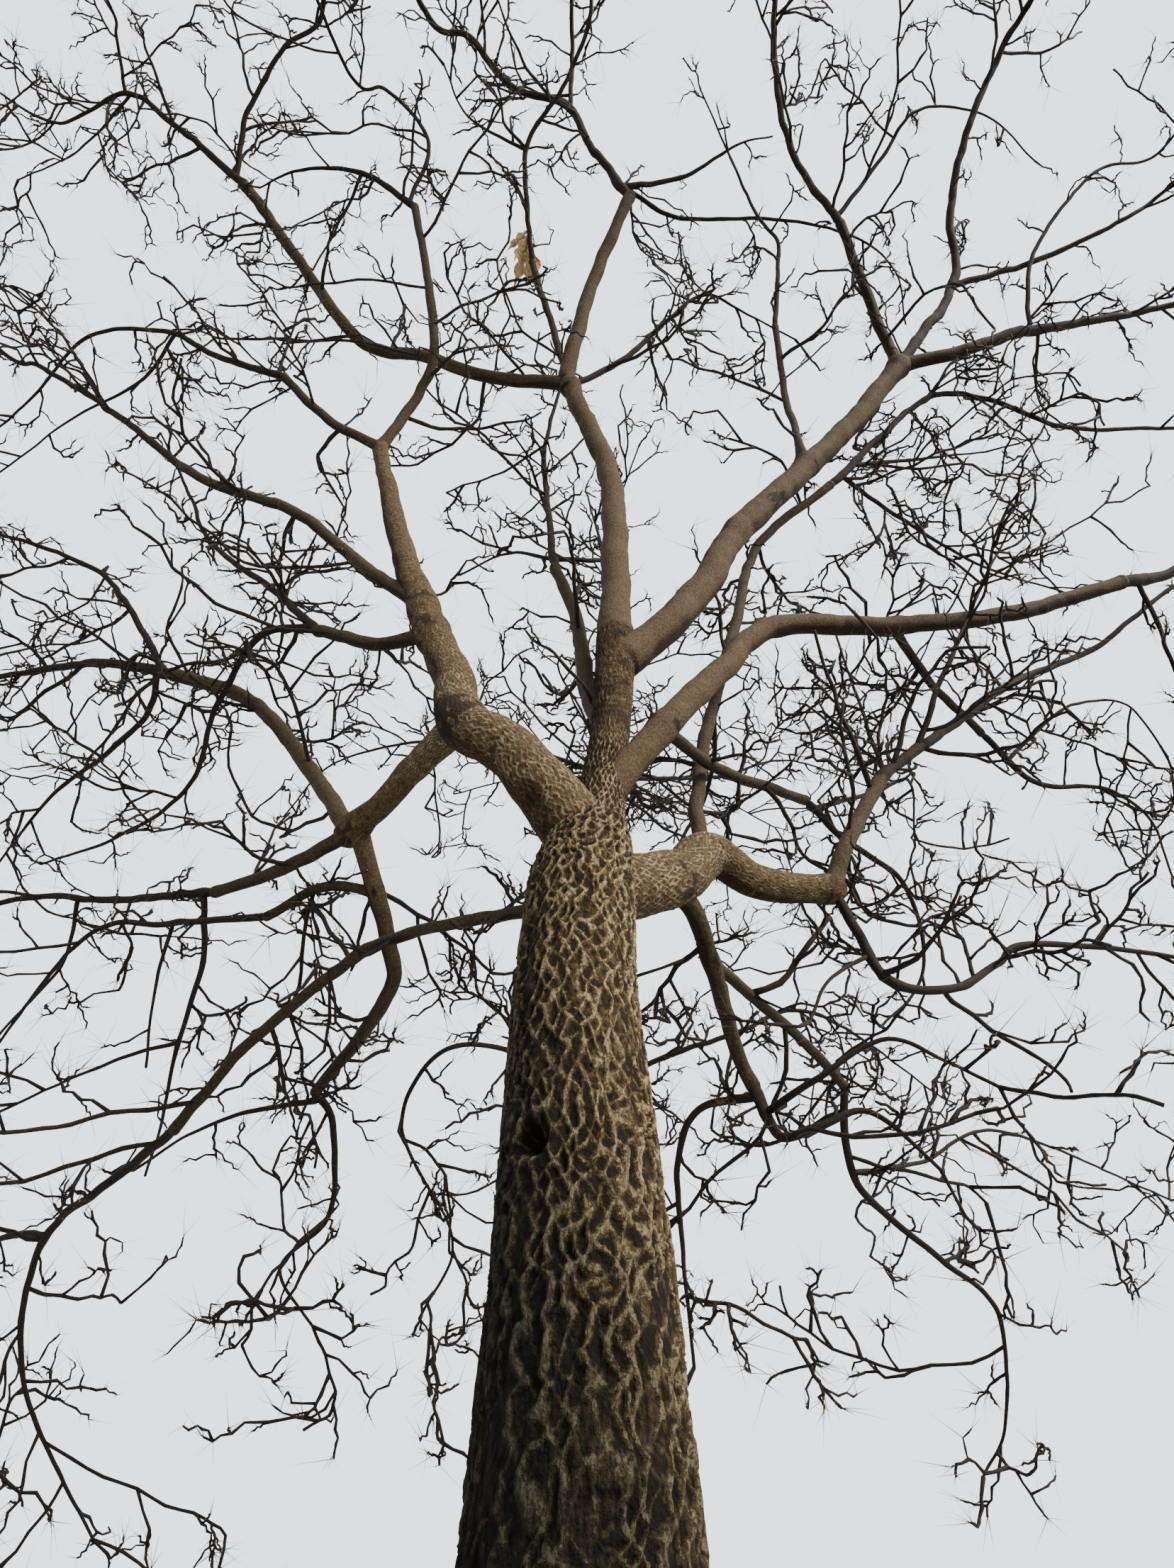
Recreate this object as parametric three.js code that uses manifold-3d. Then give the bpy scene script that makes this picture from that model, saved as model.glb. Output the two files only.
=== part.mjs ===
// A bare winter tree, standing: a thick furrowed trunk that breaks up at about
// 4.7 m into crooked boughs, each ending in a mass of knobbly leafless twigs.
// Millimetres, +Z up, origin in the middle of the flat cut at ground level.
// +X is to the right and +Y away for someone who stands in front of the tree.

import * as THREE from "three";
import { mergeVertices } from "three/addons/utils/BufferGeometryUtils.js";
import Module from "manifold-3d";

const CM = 10;
const DEGREE = Math.PI / 180;
const GOLDEN_TURN = 137.5 * DEGREE;

// The trunk: height, diameter and sideways shift (x, y) of its middle, in cm.
const TRUNK = [
  [0, 84, 0, 0], [10, 72, 0, 0], [26, 63, 0, 0], [50, 58, 0, 0], [85, 55, 0, 0],
  [130, 53, -0.5, 0], [190, 50.5, -0.8, 0], [243, 47.6, -1, 0], [302, 42.8, -1, 0],
  [341, 40, -2, 0], [391, 36.3, -3.5, 0], [438, 34.8, -2, 0], [455, 31, 0, 0],
  [476, 18.5, 4, 0], [520, 15.6, 8.5, -1], [572, 17.1, 11.5, -2], [595, 18, 12.5, -3],
];
const TRUNK_ROWS = TRUNK.map((row) => row.map((value) => value * CM));
const TRUNK_SIDES = 20;

// Five root ribs: their depth as a share of the radius, the height over which
// they fade out and the turn of the first one, in radians.
const ROOT_RIBS = { count: 5, depth: 0.13, fade: 320, turn: 0.6 };

// A rounded burl low on the front: its height, the distance to its middle from
// the front line, its size and depth, and the trunk's radius there.
const BURL = { height: 2500, side: 72, size: 75, depth: 26, trunkRadius: 238 };

// Every limb: name, what it grows from, the place there, foot and tip
// diameters in cm, and its legs as [length cm, bearing, rise] in degrees. A
// bearing of 0 is away from the front and 90 is to the right. The place on the
// trunk is a height in cm, and on a limb it counts that limb's legs. A name
// with a slash belongs to the twig mass named before it: /0 is the mass's own
// stem, on a bough's tip, and the others branch inside the mass.
const LIMBS = [
  ["left", "trunk", 460, 21, 7.4, [
    [50, 250, 53], [32, 280, 51], [41, 287, 78], [47, 269, 72], [79, 262, 74], [98, 241, 75]]],
  ["left_top", "left", 6, 6.2, 4.8, [[50, 132, 63], [42, 161, 57], [123, 202, 64]]],
  ["left_top/0", "left_top", 3, 4.6, 1.2, [[46, 246, 32], [46, 271, 19], [29, 291, 0]]],
  ["left_top/1", "left_top/0", 0.1, 3, 1, [
    [56, 163, 57], [56, 230, 46], [34, 257, 36], [108, 198, -28], [119, 231, -57], [102, 207, -77]]],
  ["left_top/2", "left_top/0", 1, 2.6, 0.8, [[27, 332, -33], [46, 326, -41]]],
  ["left_far", "left", 6, 5.6, 4.6, [[41, 259, 38], [48, 246, 46]]],
  ["left_far/0", "left_far", 2, 4.4, 1, [
    [55, 266, 33], [50, 261, 37], [53, 277, 11], [49, 311, -24], [63, 307, -29]]],
  ["left_far/1", "left_far/0", 1.8, 2.6, 0.8, [[35, 318, -26], [51, 295, -11], [54, 300, -34]]],
  ["left_far/2", "left_far/0", 0.1, 2.2, 0.8, [[90, 173, 74]]],
  ["left_mid", "left", 4.2, 6.8, 5, [[65, 274, 54], [69, 267, 53], [60, 270, 36], [37, 267, 42]]],
  ["left_mid/0", "left_mid", 4, 4.8, 1.4, [
    [84, 257, 45], [66, 257, 38], [38, 262, 31], [97, 223, 24]]],
  ["left_mid/1", "left_mid/0", 1, 2.8, 0.8, [[76, 239, 52], [60, 245, 42]]],
  ["left_in", "left", 3.8, 6.6, 5.6, [[30, 294, 22], [52, 290, 43]]],
  ["left_in/0", "left_in", 2, 4.4, 1.2, [
    [59, 276, 57], [72, 270, 50], [56, 251, 63], [69, 244, 60]]],
  ["left_in/1", "left_in/0", 0.1, 4, 1.2, [
    [33, 290, 17], [42, 324, -14], [43, 337, -44], [46, 303, -12], [47, 292, 0]]],
  ["left_low", "left", 2, 12, 9.8, [[39, 322, 15], [20, 322, 0], [23, 315, 0]]],
  ["left_out", "left_low", 3, 8, 7.2, [[68, 293, 63], [78, 273, 56], [71, 280, 39]]],
  ["left_out/0", "left_out", 3, 6.2, 1.4, [[67, 284, 32], [88, 289, 20], [110, 287, 16]]],
  ["left_out/1", "left_out/0", 0.1, 4.4, 1.2, [
    [63, 248, 55], [47, 255, 48], [78, 265, 27], [87, 276, 27]]],
  ["left_out/2", "left_out/0", 0.2, 4, 1.2, [
    [23, 350, -49], [35, 309, -25], [35, 300, -25], [46, 313, -50]]],
  ["left_down", "left_low", 3, 6.2, 5, [[37, 302, 0], [48, 305, 18]]],
  ["left_down/0", "left_down", 2, 4.2, 1.4, [[73, 293, 20], [78, 290, 19], [142, 294, 0]]],
  ["left_down/1", "left_down/0", 0.1, 3.2, 1, [
    [36, 16, -63], [33, 340, -49], [36, 345, -34], [25, 13, -86]]],
  ["left_down/2", "left_down/0", 1.3, 2.4, 0.8, [[32, 346, -47], [42, 307, -45]]],
  ["left_down/3", "left_down/1", 2, 2, 0.8, [[31, 283, -10], [54, 292, -11]]],
  ["left_hang", "left_low", 2.8, 7.8, 4.4, [
    [31, 35, -53], [22, 20, -44], [20, 358, -29], [71, 328, 0]]],
  ["left_hang/0", "left_hang", 4, 3.4, 1, [
    [16, 45, -40], [39, 357, -40], [29, 306, -31], [31, 81, -53]]],
  ["left_hang/1", "left_hang/0", 0.3, 2.8, 0.8, [[27, 278, -5], [30, 286, -10], [28, 284, -33]]],
  ["left_under", "left_hang", 1, 4.4, 3.8, [[26, 283, 22], [28, 297, -10]]],
  ["left_under/0", "left_under", 2, 3.4, 0.8, [[53, 291, 17], [53, 292, 10], [128, 320, -4]]],
  ["left_under/1", "left_under/0", 1, 2, 0.8, [[30, 346, -58], [32, 359, -52]]],
  ["back_left", "trunk", 430, 4.6, 4.4, [
    [102, 309, 26], [46, 310, 0], [39, 309, -14], [42, 316, -21]]],
  ["back_left/0", "back_left", 4, 4.2, 1.4, [
    [50, 312, -6], [35, 312, -8], [47, 340, -26], [44, 5, -26], [61, 22, -25]]],
  ["back_left/1", "back_left/0", 2, 3, 1, [[35, 301, 16], [138, 304, 8]]],
  ["right", "trunk", 435, 21.5, 9.6, [
    [44, 64, 35], [30, 57, 55], [21, 55, 1], [21, 64, 13], [16, 73, 19]]],
  ["right_out", "right", 5, 7, 6.2, [[27, 110, 67], [50, 90, 63]]],
  ["right_out/0", "right_out", 2, 5.2, 1.4, [
    [40, 83, 49], [89, 84, 47], [80, 83, 39], [97, 101, 38], [95, 96, 19]]],
  ["right_out/1", "right_out/0", 0.9, 3.2, 1, [[44, 137, 53], [79, 110, 62], [52, 110, 60]]],
  ["right_out/2", "right_out/0", 0.1, 2.6, 0.8, [[73, 18, 88], [50, 196, 85]]],
  ["right_low/0", "right", 5, 4.2, 1.2, [
    [23, 49, -60], [20, 52, -49], [27, 74, 10], [32, 72, 40], [30, 83, 29], [142, 71, 12]]],
  ["right_low/1", "right_low/0", 1.3, 2, 0.8, [[28, 251, -44], [22, 271, -64]]],
  ["right_long", "right", 1.8, 6, 4.8, [
    [39, 38, 87], [55, 70, 80], [98, 96, 77], [83, 101, 75], [68, 106, 47]]],
  ["right_long/0", "right_long", 5, 4.6, 1.6, [
    [112, 107, 49], [38, 91, 1], [52, 75, -17], [65, 85, 13], [102, 87, 9]]],
  ["right_long/1", "right_long/0", 0.2, 3, 1, [[60, 81, 32], [49, 86, 24]]],
  ["right_long/2", "right_long/0", 0.1, 3, 1, [[45, 57, -5], [58, 60, 0], [68, 70, 4]]],
  ["right_long/3", "right_long/0", 1, 2.4, 0.8, [[45, 109, 52], [40, 97, 30]]],
  ["right_hang", "right", 0.9, 7, 5, [[18, 36, -9], [30, 17, -9], [30, 17, -20], [12, 38, -54]]],
  ["right_hang/0", "right_hang", 4, 4.4, 1, [
    [26, 131, -74], [14, 111, -1], [20, 91, 15], [28, 81, -47]]],
  ["right_hang/1", "right_hang/0", 0.2, 3.4, 1, [
    [26, 305, 11], [21, 333, -45], [25, 2, -37], [43, 10, -68]]],
  ["right_hang/2", "right_hang/0", 0.5, 3, 0.8, [
    [24, 141, -3], [28, 112, 21], [21, 90, -28], [19, 85, -32]]],
  ["back_right", "right_hang", 1.7, 4.4, 3.8, [[57, 35, 13], [53, 35, 6]]],
  ["back_right/0", "back_right", 2, 3.6, 1.2, [
    [39, 9, -41], [47, 50, -19], [41, 46, -14], [51, 6, -29], [22, 317, -43]]],
  ["back_right/1", "back_right/0", 0.9, 2.2, 0.8, [[58, 52, 29], [69, 64, 31], [173, 49, 13]]],
  ["mid_right", "trunk", 485, 11.8, 7.2, [
    [52, 97, 59], [51, 79, 62], [59, 79, 59], [71, 76, 25], [80, 81, 26], [82, 88, 29]]],
  ["mid_right/0", "mid_right", 6, 6.6, 1.6, [[42, 86, 28], [76, 102, 32], [100, 81, 24]]],
  ["mid_right/1", "mid_right/0", 0.3, 3, 1, [[32, 27, -51], [22, 352, -71], [98, 34, -18]]],
  ["droop_right", "mid_right", 4, 4.8, 3.8, [[45, 37, 6], [42, 46, 0]]],
  ["droop_right/0", "droop_right", 2, 3.6, 1, [
    [41, 52, -14], [46, 75, 13], [28, 61, -21], [34, 16, -63]]],
  ["droop_right/1", "droop_right/0", 0.5, 2.6, 0.8, [[65, 93, 46], [48, 77, 24], [38, 46, -32]]],
  ["in_right", "mid_right", 0.9, 5, 4.2, [[33, 42, 17], [37, 49, 24], [32, 49, 28]]],
  ["in_right/0", "in_right", 3, 3.6, 1, [
    [31, 42, 0], [31, 56, -9], [29, 28, -43], [24, 333, -58], [27, 278, -47]]],
  ["in_right/1", "in_right/0", 0.2, 2.6, 0.8, [[65, 59, 44], [42, 58, 45], [88, 18, 27]]],
  ["right_high", "trunk", 575, 15, 11.4, [
    [48, 89, 57], [44, 90, 65], [48, 101, 68], [77, 98, 58], [60, 99, 57], [89, 108, 57]]],
  ["right_top", "right_high", 6, 7.6, 6.2, [[43, 203, 69], [86, 202, 54]]],
  ["right_top/0", "right_top", 2, 5.4, 1.4, [
    [53, 221, 49], [45, 202, 42], [74, 184, 33], [110, 174, -5], [114, 173, -38], [114, 202, -62]]],
  ["right_top/1", "right_top/0", 0.1, 3.4, 1, [
    [55, 131, 41], [51, 133, 36], [51, 84, 12], [45, 54, -13]]],
  ["right_top/2", "right_top/0", 2.8, 2.4, 0.8, [[113, 147, 3], [117, 139, -37], [110, 154, -66]]],
  ["right_mid/0", "right_high", 6, 7, 1.4, [
    [97, 121, 55], [62, 171, 55], [62, 164, 40], [82, 151, 29], [128, 161, -28], [124, 149, -62]]],
  ["right_mid/1", "right_mid/0", 1, 4.6, 1.2, [
    [60, 100, 20], [72, 110, 16], [40, 118, 22], [99, 136, -14]]],
  ["right_far", "right_high", 6, 8.4, 7, [[43, 97, 20], [52, 97, 29]]],
  ["right_far/0", "right_far", 2, 6.6, 1.4, [[61, 92, 19], [55, 96, 16], [104, 102, 3]]],
  ["right_far/1", "right_far/0", 0.1, 3.4, 1, [
    [68, 159, 58], [88, 128, 43], [61, 106, 20], [115, 161, 0]]],
  ["right_far/2", "right_far/0", 0.2, 2.6, 0.8, [[41, 4, -27], [24, 45, -12]]],
  ["over_right", "right_high", 4.2, 4.6, 4, [[86, 189, 80], [59, 180, 68]]],
  ["over_right/0", "over_right", 2, 3.6, 1, [
    [50, 166, 64], [29, 173, 61], [37, 221, 54], [101, 208, 48]]],
  ["leader", "trunk", 593, 14, 7.2, [
    [67, 163, 87], [55, 177, 85], [56, 217, 83], [82, 239, 75], [32, 193, 73], [88, 153, 66], [74, 148, 54]]],
  ["leader/0", "leader", 7, 6, 1.2, [
    [54, 227, 47], [31, 213, 40], [48, 254, 25], [44, 227, 27], [35, 247, 17],
    [100, 197, -24], [114, 189, -52], [116, 147, -71]]],
  ["leader/1", "leader/0", 0.2, 4.4, 1, [[45, 96, 15], [46, 114, 25], [26, 98, 23]]],
  ["leader/2", "leader/0", 0.3, 3.6, 1, [
    [47, 62, 3], [67, 88, 4], [55, 81, -10], [39, 59, -32], [42, 12, -45]]],
  ["leader/3", "leader/0", 2, 3.4, 1.2, [
    [78, 179, 40], [110, 180, -3], [116, 169, -28], [118, 198, -58]]],
  ["leader/4", "leader/3", 1.9, 2.4, 0.8, [[108, 119, -54], [118, 159, -69], [112, 242, -78]]],
  ["thin_top", "leader", 4.1, 4.8, 4, [[61, 210, 66], [58, 208, 59]]],
  ["thin_top/0", "thin_top", 2, 3.6, 1.2, [
    [79, 184, 44], [51, 145, 30], [56, 158, 33], [96, 182, -25], [105, 220, -42], [105, 198, -72]]],
  ["thin_top/1", "thin_top/0", 1, 2.6, 0.8, [[47, 246, 26], [32, 206, 9]]],
  ["cross_top", "leader", 4.2, 4, 3.4, [[46, 101, 44], [44, 115, 52]]],
  ["cross_top/0", "cross_top", 2, 3, 0.8, [[43, 111, 46], [31, 71, -10], [36, 66, -16]]],
  ["high_left", "leader", 4.3, 8.2, 7, [
    [59, 275, 30], [50, 263, 30], [51, 265, 29], [99, 231, 45], [60, 228, 42]]],
  ["high_left/0", "high_left", 5, 5.6, 1.2, [
    [64, 237, 28], [47, 245, 25], [51, 289, -23], [53, 229, -35]]],
  ["high_left/1", "high_left/0", 0.1, 4.2, 1.2, [
    [46, 171, 44], [53, 146, 28], [44, 134, 27], [114, 184, -15], [111, 201, -39], [118, 165, -70]]],
  ["high_left/2", "high_left/0", 2, 2.6, 0.8, [[34, 183, 17], [22, 185, 0], [103, 201, -23]]],
  ["high_left/3", "high_left/0", 1.9, 2.4, 0.8, [[55, 312, -32], [46, 291, -27]]],
  ["pale_mid", "trunk", 520, 8.4, 5.6, [[57, 323, 76], [75, 327, 83], [61, 274, 79]]],
  ["pale_mid/0", "pale_mid", 3, 4.4, 1.2, [
    [101, 245, 85], [51, 186, 80], [73, 149, 73], [75, 33, 69]]],
  ["pale_mid/1", "pale_mid/0", 0.1, 2.6, 0.8, [[40, 292, 48], [31, 295, 1]]],
  ["pale_mid/2", "pale_mid/0", 0.1, 3, 0.8, [[25, 77, 24], [21, 40, 73], [90, 298, 84]]],
  ["low_back", "trunk", 420, 9.2, 6.2, [[90, 6, 34], [89, 350, 30], [77, 11, 23]]],
  ["low_back/0", "low_back", 3, 5.6, 1.2, [[93, 353, 29], [82, 10, 7], [73, 352, -16]]],
  ["low_back/1", "low_back/0", 0.1, 3.4, 0.8, [
    [103, 220, -23], [44, 315, -34], [55, 29, -32], [34, 326, -49]]],
  ["low_back/2", "low_back/0", 0.2, 3.4, 0.8, [[75, 101, 16], [69, 68, 31], [134, 44, 8]]],
  ["high_back", "trunk", 505, 8.8, 6.2, [[96, 4, 47], [106, 356, 58], [104, 12, 54]]],
  ["high_back/0", "high_back", 3, 5.6, 1.2, [[87, 348, 54], [97, 22, 56], [64, 348, 39]]],
  ["high_back/1", "high_back/0", 0.1, 3.4, 0.8, [
    [73, 262, 19], [69, 286, 26], [79, 295, 14], [72, 320, 8]]],
  ["high_back/2", "high_back/0", 0.3, 3.4, 0.8, [[96, 65, 32], [80, 71, 38], [83, 61, 14]]],
  ["high_back/3", "high_back/0", 1, 3, 0.8, [[103, 161, 52], [95, 192, 57], [73, 158, 43]]],
  ["high_back/4", "high_back/0", 1.9, 2.8, 0.8, [[94, 293, 23], [70, 297, 16]]],
  ["high_back/5", "high_back/0", 1.7, 2.8, 0.8, [[99, 50, 31], [86, 55, 7]]],
];

// The gaps between touching limbs, and between a bough's tip and a stem.
const CLEARANCE = 0.4;
const STEM_GAP = 0.35;

// A bough swells at its foot by this share and over this many foot radii.
const COLLAR_SWELL = 0.32;
const COLLAR_REACH = 1.6;

// Foot diameters, in cm, above which a limb has more sides.
const THICK_LIMB = 10;
const MEDIUM_LIMB = 7;
const SLIM_LIMB = 3.8;
const RINGS_PER_LEG = 2;
const STRETCHES_PER_LEG = 3;

// Twigs of the masses: where they sit on a branch and how they grow. Lengths
// and radii are in mm, angles in degrees and the rest are shares.
const TWIG = {
  firstPlace: 150, spacing: 860, closest: 0.8, spacingSpread: 0.4,
  length: 430, lengthSpread: 0.35, shorterAtTip: 0.35,
  angle: 56, angleAtTip: 0.6, bend: 34, tipLift: 0.12,
  thickness: 0.55, thickest: 8, thinnest: 1.6, sunk: 0.55, sides: 3,
};
const OWN_SPACE_MARGIN = 45;
const LIMB_MARGIN = 22;

// Directions with more upward share than this count as upright.
const UPRIGHT = 0.9;

// A vertex nearer than this to the middle of a round of radius 1 is its centre.
const CENTRE_VERTEX = 0.5;

const BARK = { trunk: 0x75644a, thick: 0x7a684c, limb: 0x5d4f3c, pale: 0x877b68 };
const TWIG_COLOUR = 0x4a3d31;

const wasm = await Module();
wasm.setup();

function seededRandom(seed) {
  let state = (seed * 7919 + 104729) % 2147483647;
  return () => {
    state = (state * 48271) % 2147483647;
    return state / 2147483647;
  };
}

function legVector([length, bearing, rise]) {
  const flat = length * CM * Math.cos(rise * DEGREE);
  return new THREE.Vector3(
    flat * Math.sin(bearing * DEGREE),
    flat * Math.cos(bearing * DEGREE),
    length * CM * Math.sin(rise * DEGREE),
  );
}

function trunkRowAt(height) {
  const upper = TRUNK_ROWS.findIndex((row) => row[0] >= height);
  const [low, high] = [TRUNK_ROWS[upper - 1], TRUNK_ROWS[upper]];
  const share = (height - low[0]) / (high[0] - low[0]);
  return low.map((value, i) => value + (high[i] - value) * share);
}

// A closed cylinder whose rings are moved onto a path. radiusAt(ring, angle)
// gives the distance from the path's middle line.
function ringedSolid(centres, radiusAt, sides) {
  const rings = centres.length;
  const geometry = new THREE.CylinderGeometry(1, 1, 1, sides, rings - 1);
  const frames = pathFrames(centres);
  const position = geometry.attributes.position;
  const spoke = new THREE.Vector3();
  for (let i = 0; i < position.count; i += 1) {
    const ring = Math.round((position.getY(i) + 0.5) * (rings - 1));
    const [x, z] = [position.getX(i), position.getZ(i)];
    const angle = Math.atan2(z, x);
    const reach = Math.hypot(x, z) < CENTRE_VERTEX ? 0 : radiusAt(ring, angle);
    const { across, over } = frames[ring];
    spoke.copy(across).multiplyScalar(Math.cos(angle) * reach);
    spoke.addScaledVector(over, Math.sin(angle) * reach).add(centres[ring]);
    position.setXYZ(i, spoke.x, spoke.y, spoke.z);
  }
  return solidFrom(geometry);
}

// Two directions square to the path at each of its points, carried along it
// without a twist.
function pathFrames(centres) {
  const frames = [];
  let across = null;
  centres.forEach((centre, i) => {
    const before = centres[Math.max(0, i - 1)];
    const after = centres[Math.min(centres.length - 1, i + 1)];
    const along = after.clone().sub(before).normalize();
    if (!across) across = squareTo(along);
    across = across.clone().addScaledVector(along, -across.dot(along)).normalize();
    frames.push({ along, across, over: across.clone().cross(along) });
  });
  return frames;
}

function squareTo(along) {
  const guide = Math.abs(along.z) > UPRIGHT ? new THREE.Vector3(1, 0, 0) : new THREE.Vector3(0, 0, 1);
  return guide.cross(along).normalize();
}

function solidFrom(geometry) {
  geometry.deleteAttribute("normal");
  geometry.deleteAttribute("uv");
  const merged = mergeVertices(geometry, 1e-4);
  const mesh = new wasm.Mesh({
    numProp: 3,
    vertProperties: new Float32Array(merged.attributes.position.array),
    triVerts: new Uint32Array(merged.index.array),
  });
  return new wasm.Manifold(mesh);
}

function largestBody(solid) {
  const bodies = solid.decompose();
  bodies.sort((a, b) => b.volume() - a.volume());
  return bodies[0];
}

function boxesMeet(a, b) {
  const [one, two] = [a.boundingBox(), b.boundingBox()];
  return [0, 1, 2].every((k) => one.min[k] <= two.max[k] && two.min[k] <= one.max[k]);
}

// Where every limb runs: its smooth line, its length and its foot and tip radius.
function layOutLimbs() {
  const limbs = new Map();
  for (const [name, parent, place, foot, tip, legs] of LIMBS) {
    const start = startPoint(limbs, parent, place);
    if (name.endsWith("/0")) {
      start.addScaledVector(legVector(legs[0]).normalize(), STEM_GAP);
    }
    const nodes = [start];
    for (const leg of legs) {
      nodes.push(nodes[nodes.length - 1].clone().add(legVector(leg)));
    }
    const curve = new THREE.CatmullRomCurve3(nodes, false, "catmullrom", 0.5);
    const length = legs.reduce((sum, leg) => sum + leg[0] * CM, 0);
    limbs.set(name, {
      name, curve, length, foot: foot * CM / 2, tip: tip * CM / 2,
      legs: legs.length, mass: name.includes("/") ? name.split("/")[0] : null,
    });
  }
  return limbs;
}

function startPoint(limbs, parent, place) {
  if (parent === "trunk") {
    const [height, , x, y] = trunkRowAt(place * CM);
    return new THREE.Vector3(x, y, height);
  }
  const limb = limbs.get(parent);
  return limb.curve.getPoint(place / limb.legs);
}

function limbSolid(limb, ringsPerLeg, grow) {
  const count = limb.legs * ringsPerLeg + 1;
  const centres = Array.from({ length: count }, (_, i) => limb.curve.getPoint(i / (count - 1)));
  const run = [0];
  for (let i = 1; i < count; i += 1) {
    run.push(run[i - 1] + centres[i].distanceTo(centres[i - 1]));
  }
  const total = run[count - 1];
  const swell = limb.mass ? 0 : COLLAR_SWELL;
  const radii = run.map((s) => {
    const plain = limb.foot + (limb.tip - limb.foot) * (s / total);
    return plain * (1 + swell * Math.exp(-s / (COLLAR_REACH * limb.foot))) + grow;
  });
  if (grow > 0) {
    const frames = pathFrames(centres);
    centres[0].addScaledVector(frames[0].along, -grow);
    centres[count - 1].addScaledVector(frames[count - 1].along, grow);
  }
  return ringedSolid(centres, (ring) => radii[ring], sidesOf(limb));
}

function sidesOf(limb) {
  if (limb.foot > THICK_LIMB * CM / 2) return 8;
  if (!limb.mass) return limb.foot > MEDIUM_LIMB * CM / 2 ? 6 : 5;
  return limb.foot > SLIM_LIMB * CM / 2 ? 4 : 3;
}

function trunkSolid(grow) {
  const centres = TRUNK_ROWS.map(([height, , x, y]) => new THREE.Vector3(x, y, height));
  centres[centres.length - 1].z += grow;
  const radiusAt = (ring, angle) => {
    const [height, diameter] = TRUNK_ROWS[ring];
    const wave = Math.cos(ROOT_RIBS.count * angle + ROOT_RIBS.turn);
    const ribs = ROOT_RIBS.depth * Math.exp(-height / ROOT_RIBS.fade) * wave;
    return (diameter / 2) * (1 + ribs) + burlRise(height, angle) + grow;
  };
  return levelRings(centres, radiusAt, TRUNK_SIDES);
}

// A rounded swelling low on the front of the trunk.
function burlRise(height, angle) {
  const front = -Math.PI / 2;
  const turn = Math.atan2(Math.sin(angle - front), Math.cos(angle - front));
  const distance = Math.hypot(turn * BURL.trunkRadius - BURL.side, height - BURL.height);
  return BURL.depth * Math.exp(-((distance / BURL.size) ** 2));
}

// Level rings round an upright line, so that the foot is cut flat.
function levelRings(centres, radiusAt, sides) {
  const rings = centres.length;
  const geometry = new THREE.CylinderGeometry(1, 1, 1, sides, rings - 1);
  geometry.rotateX(Math.PI / 2);
  const position = geometry.attributes.position;
  for (let i = 0; i < position.count; i += 1) {
    const ring = Math.round((position.getZ(i) + 0.5) * (rings - 1));
    const [x, y] = [position.getX(i), position.getY(i)];
    const angle = Math.atan2(y, x);
    const reach = Math.hypot(x, y) < CENTRE_VERTEX ? 0 : radiusAt(ring, angle);
    const centre = centres[ring];
    position.setXYZ(i, centre.x + Math.cos(angle) * reach, centre.y + Math.sin(angle) * reach, centre.z);
  }
  return solidFrom(geometry);
}

// Straight stretches of every limb, used to keep the masses apart.
function measureSpace(limbs) {
  const stretches = [];
  for (const limb of limbs.values()) {
    const steps = limb.legs * STRETCHES_PER_LEG;
    for (let i = 0; i < steps; i += 1) {
      stretches.push({
        a: limb.curve.getPoint(i / steps),
        b: limb.curve.getPoint((i + 1) / steps),
        owner: limb.mass ?? limb.name,
        isMass: Boolean(limb.mass),
        radius: limb.foot + (limb.tip - limb.foot) * (i / steps),
      });
    }
  }
  for (let i = 1; i < TRUNK_ROWS.length; i += 1) {
    const [low, high] = [TRUNK_ROWS[i - 1], TRUNK_ROWS[i]];
    stretches.push({
      a: new THREE.Vector3(low[2], low[3], low[0]),
      b: new THREE.Vector3(high[2], high[3], high[0]),
      owner: "trunk", isMass: false, radius: low[1] / 2,
    });
  }
  return stretches;
}

function distanceTo(point, { a, b }) {
  const ab = b.clone().sub(a);
  const share = THREE.MathUtils.clamp(point.clone().sub(a).dot(ab) / ab.lengthSq(), 0, 1);
  return a.clone().addScaledVector(ab, share).distanceTo(point);
}

// A point belongs to a mass when that mass's own branches are the nearest ones
// and no bough is close by.
function inOwnSpace(point, mass, space) {
  let own = Infinity;
  let other = Infinity;
  for (const stretch of space) {
    const distance = distanceTo(point, stretch);
    if (stretch.owner === mass && stretch.isMass) {
      own = Math.min(own, distance);
    } else if (stretch.isMass) {
      other = Math.min(other, distance);
    } else if (distance < stretch.radius * (1 + COLLAR_SWELL) + LIMB_MARGIN) {
      return false;
    }
  }
  return own + OWN_SPACE_MARGIN < other;
}

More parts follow.
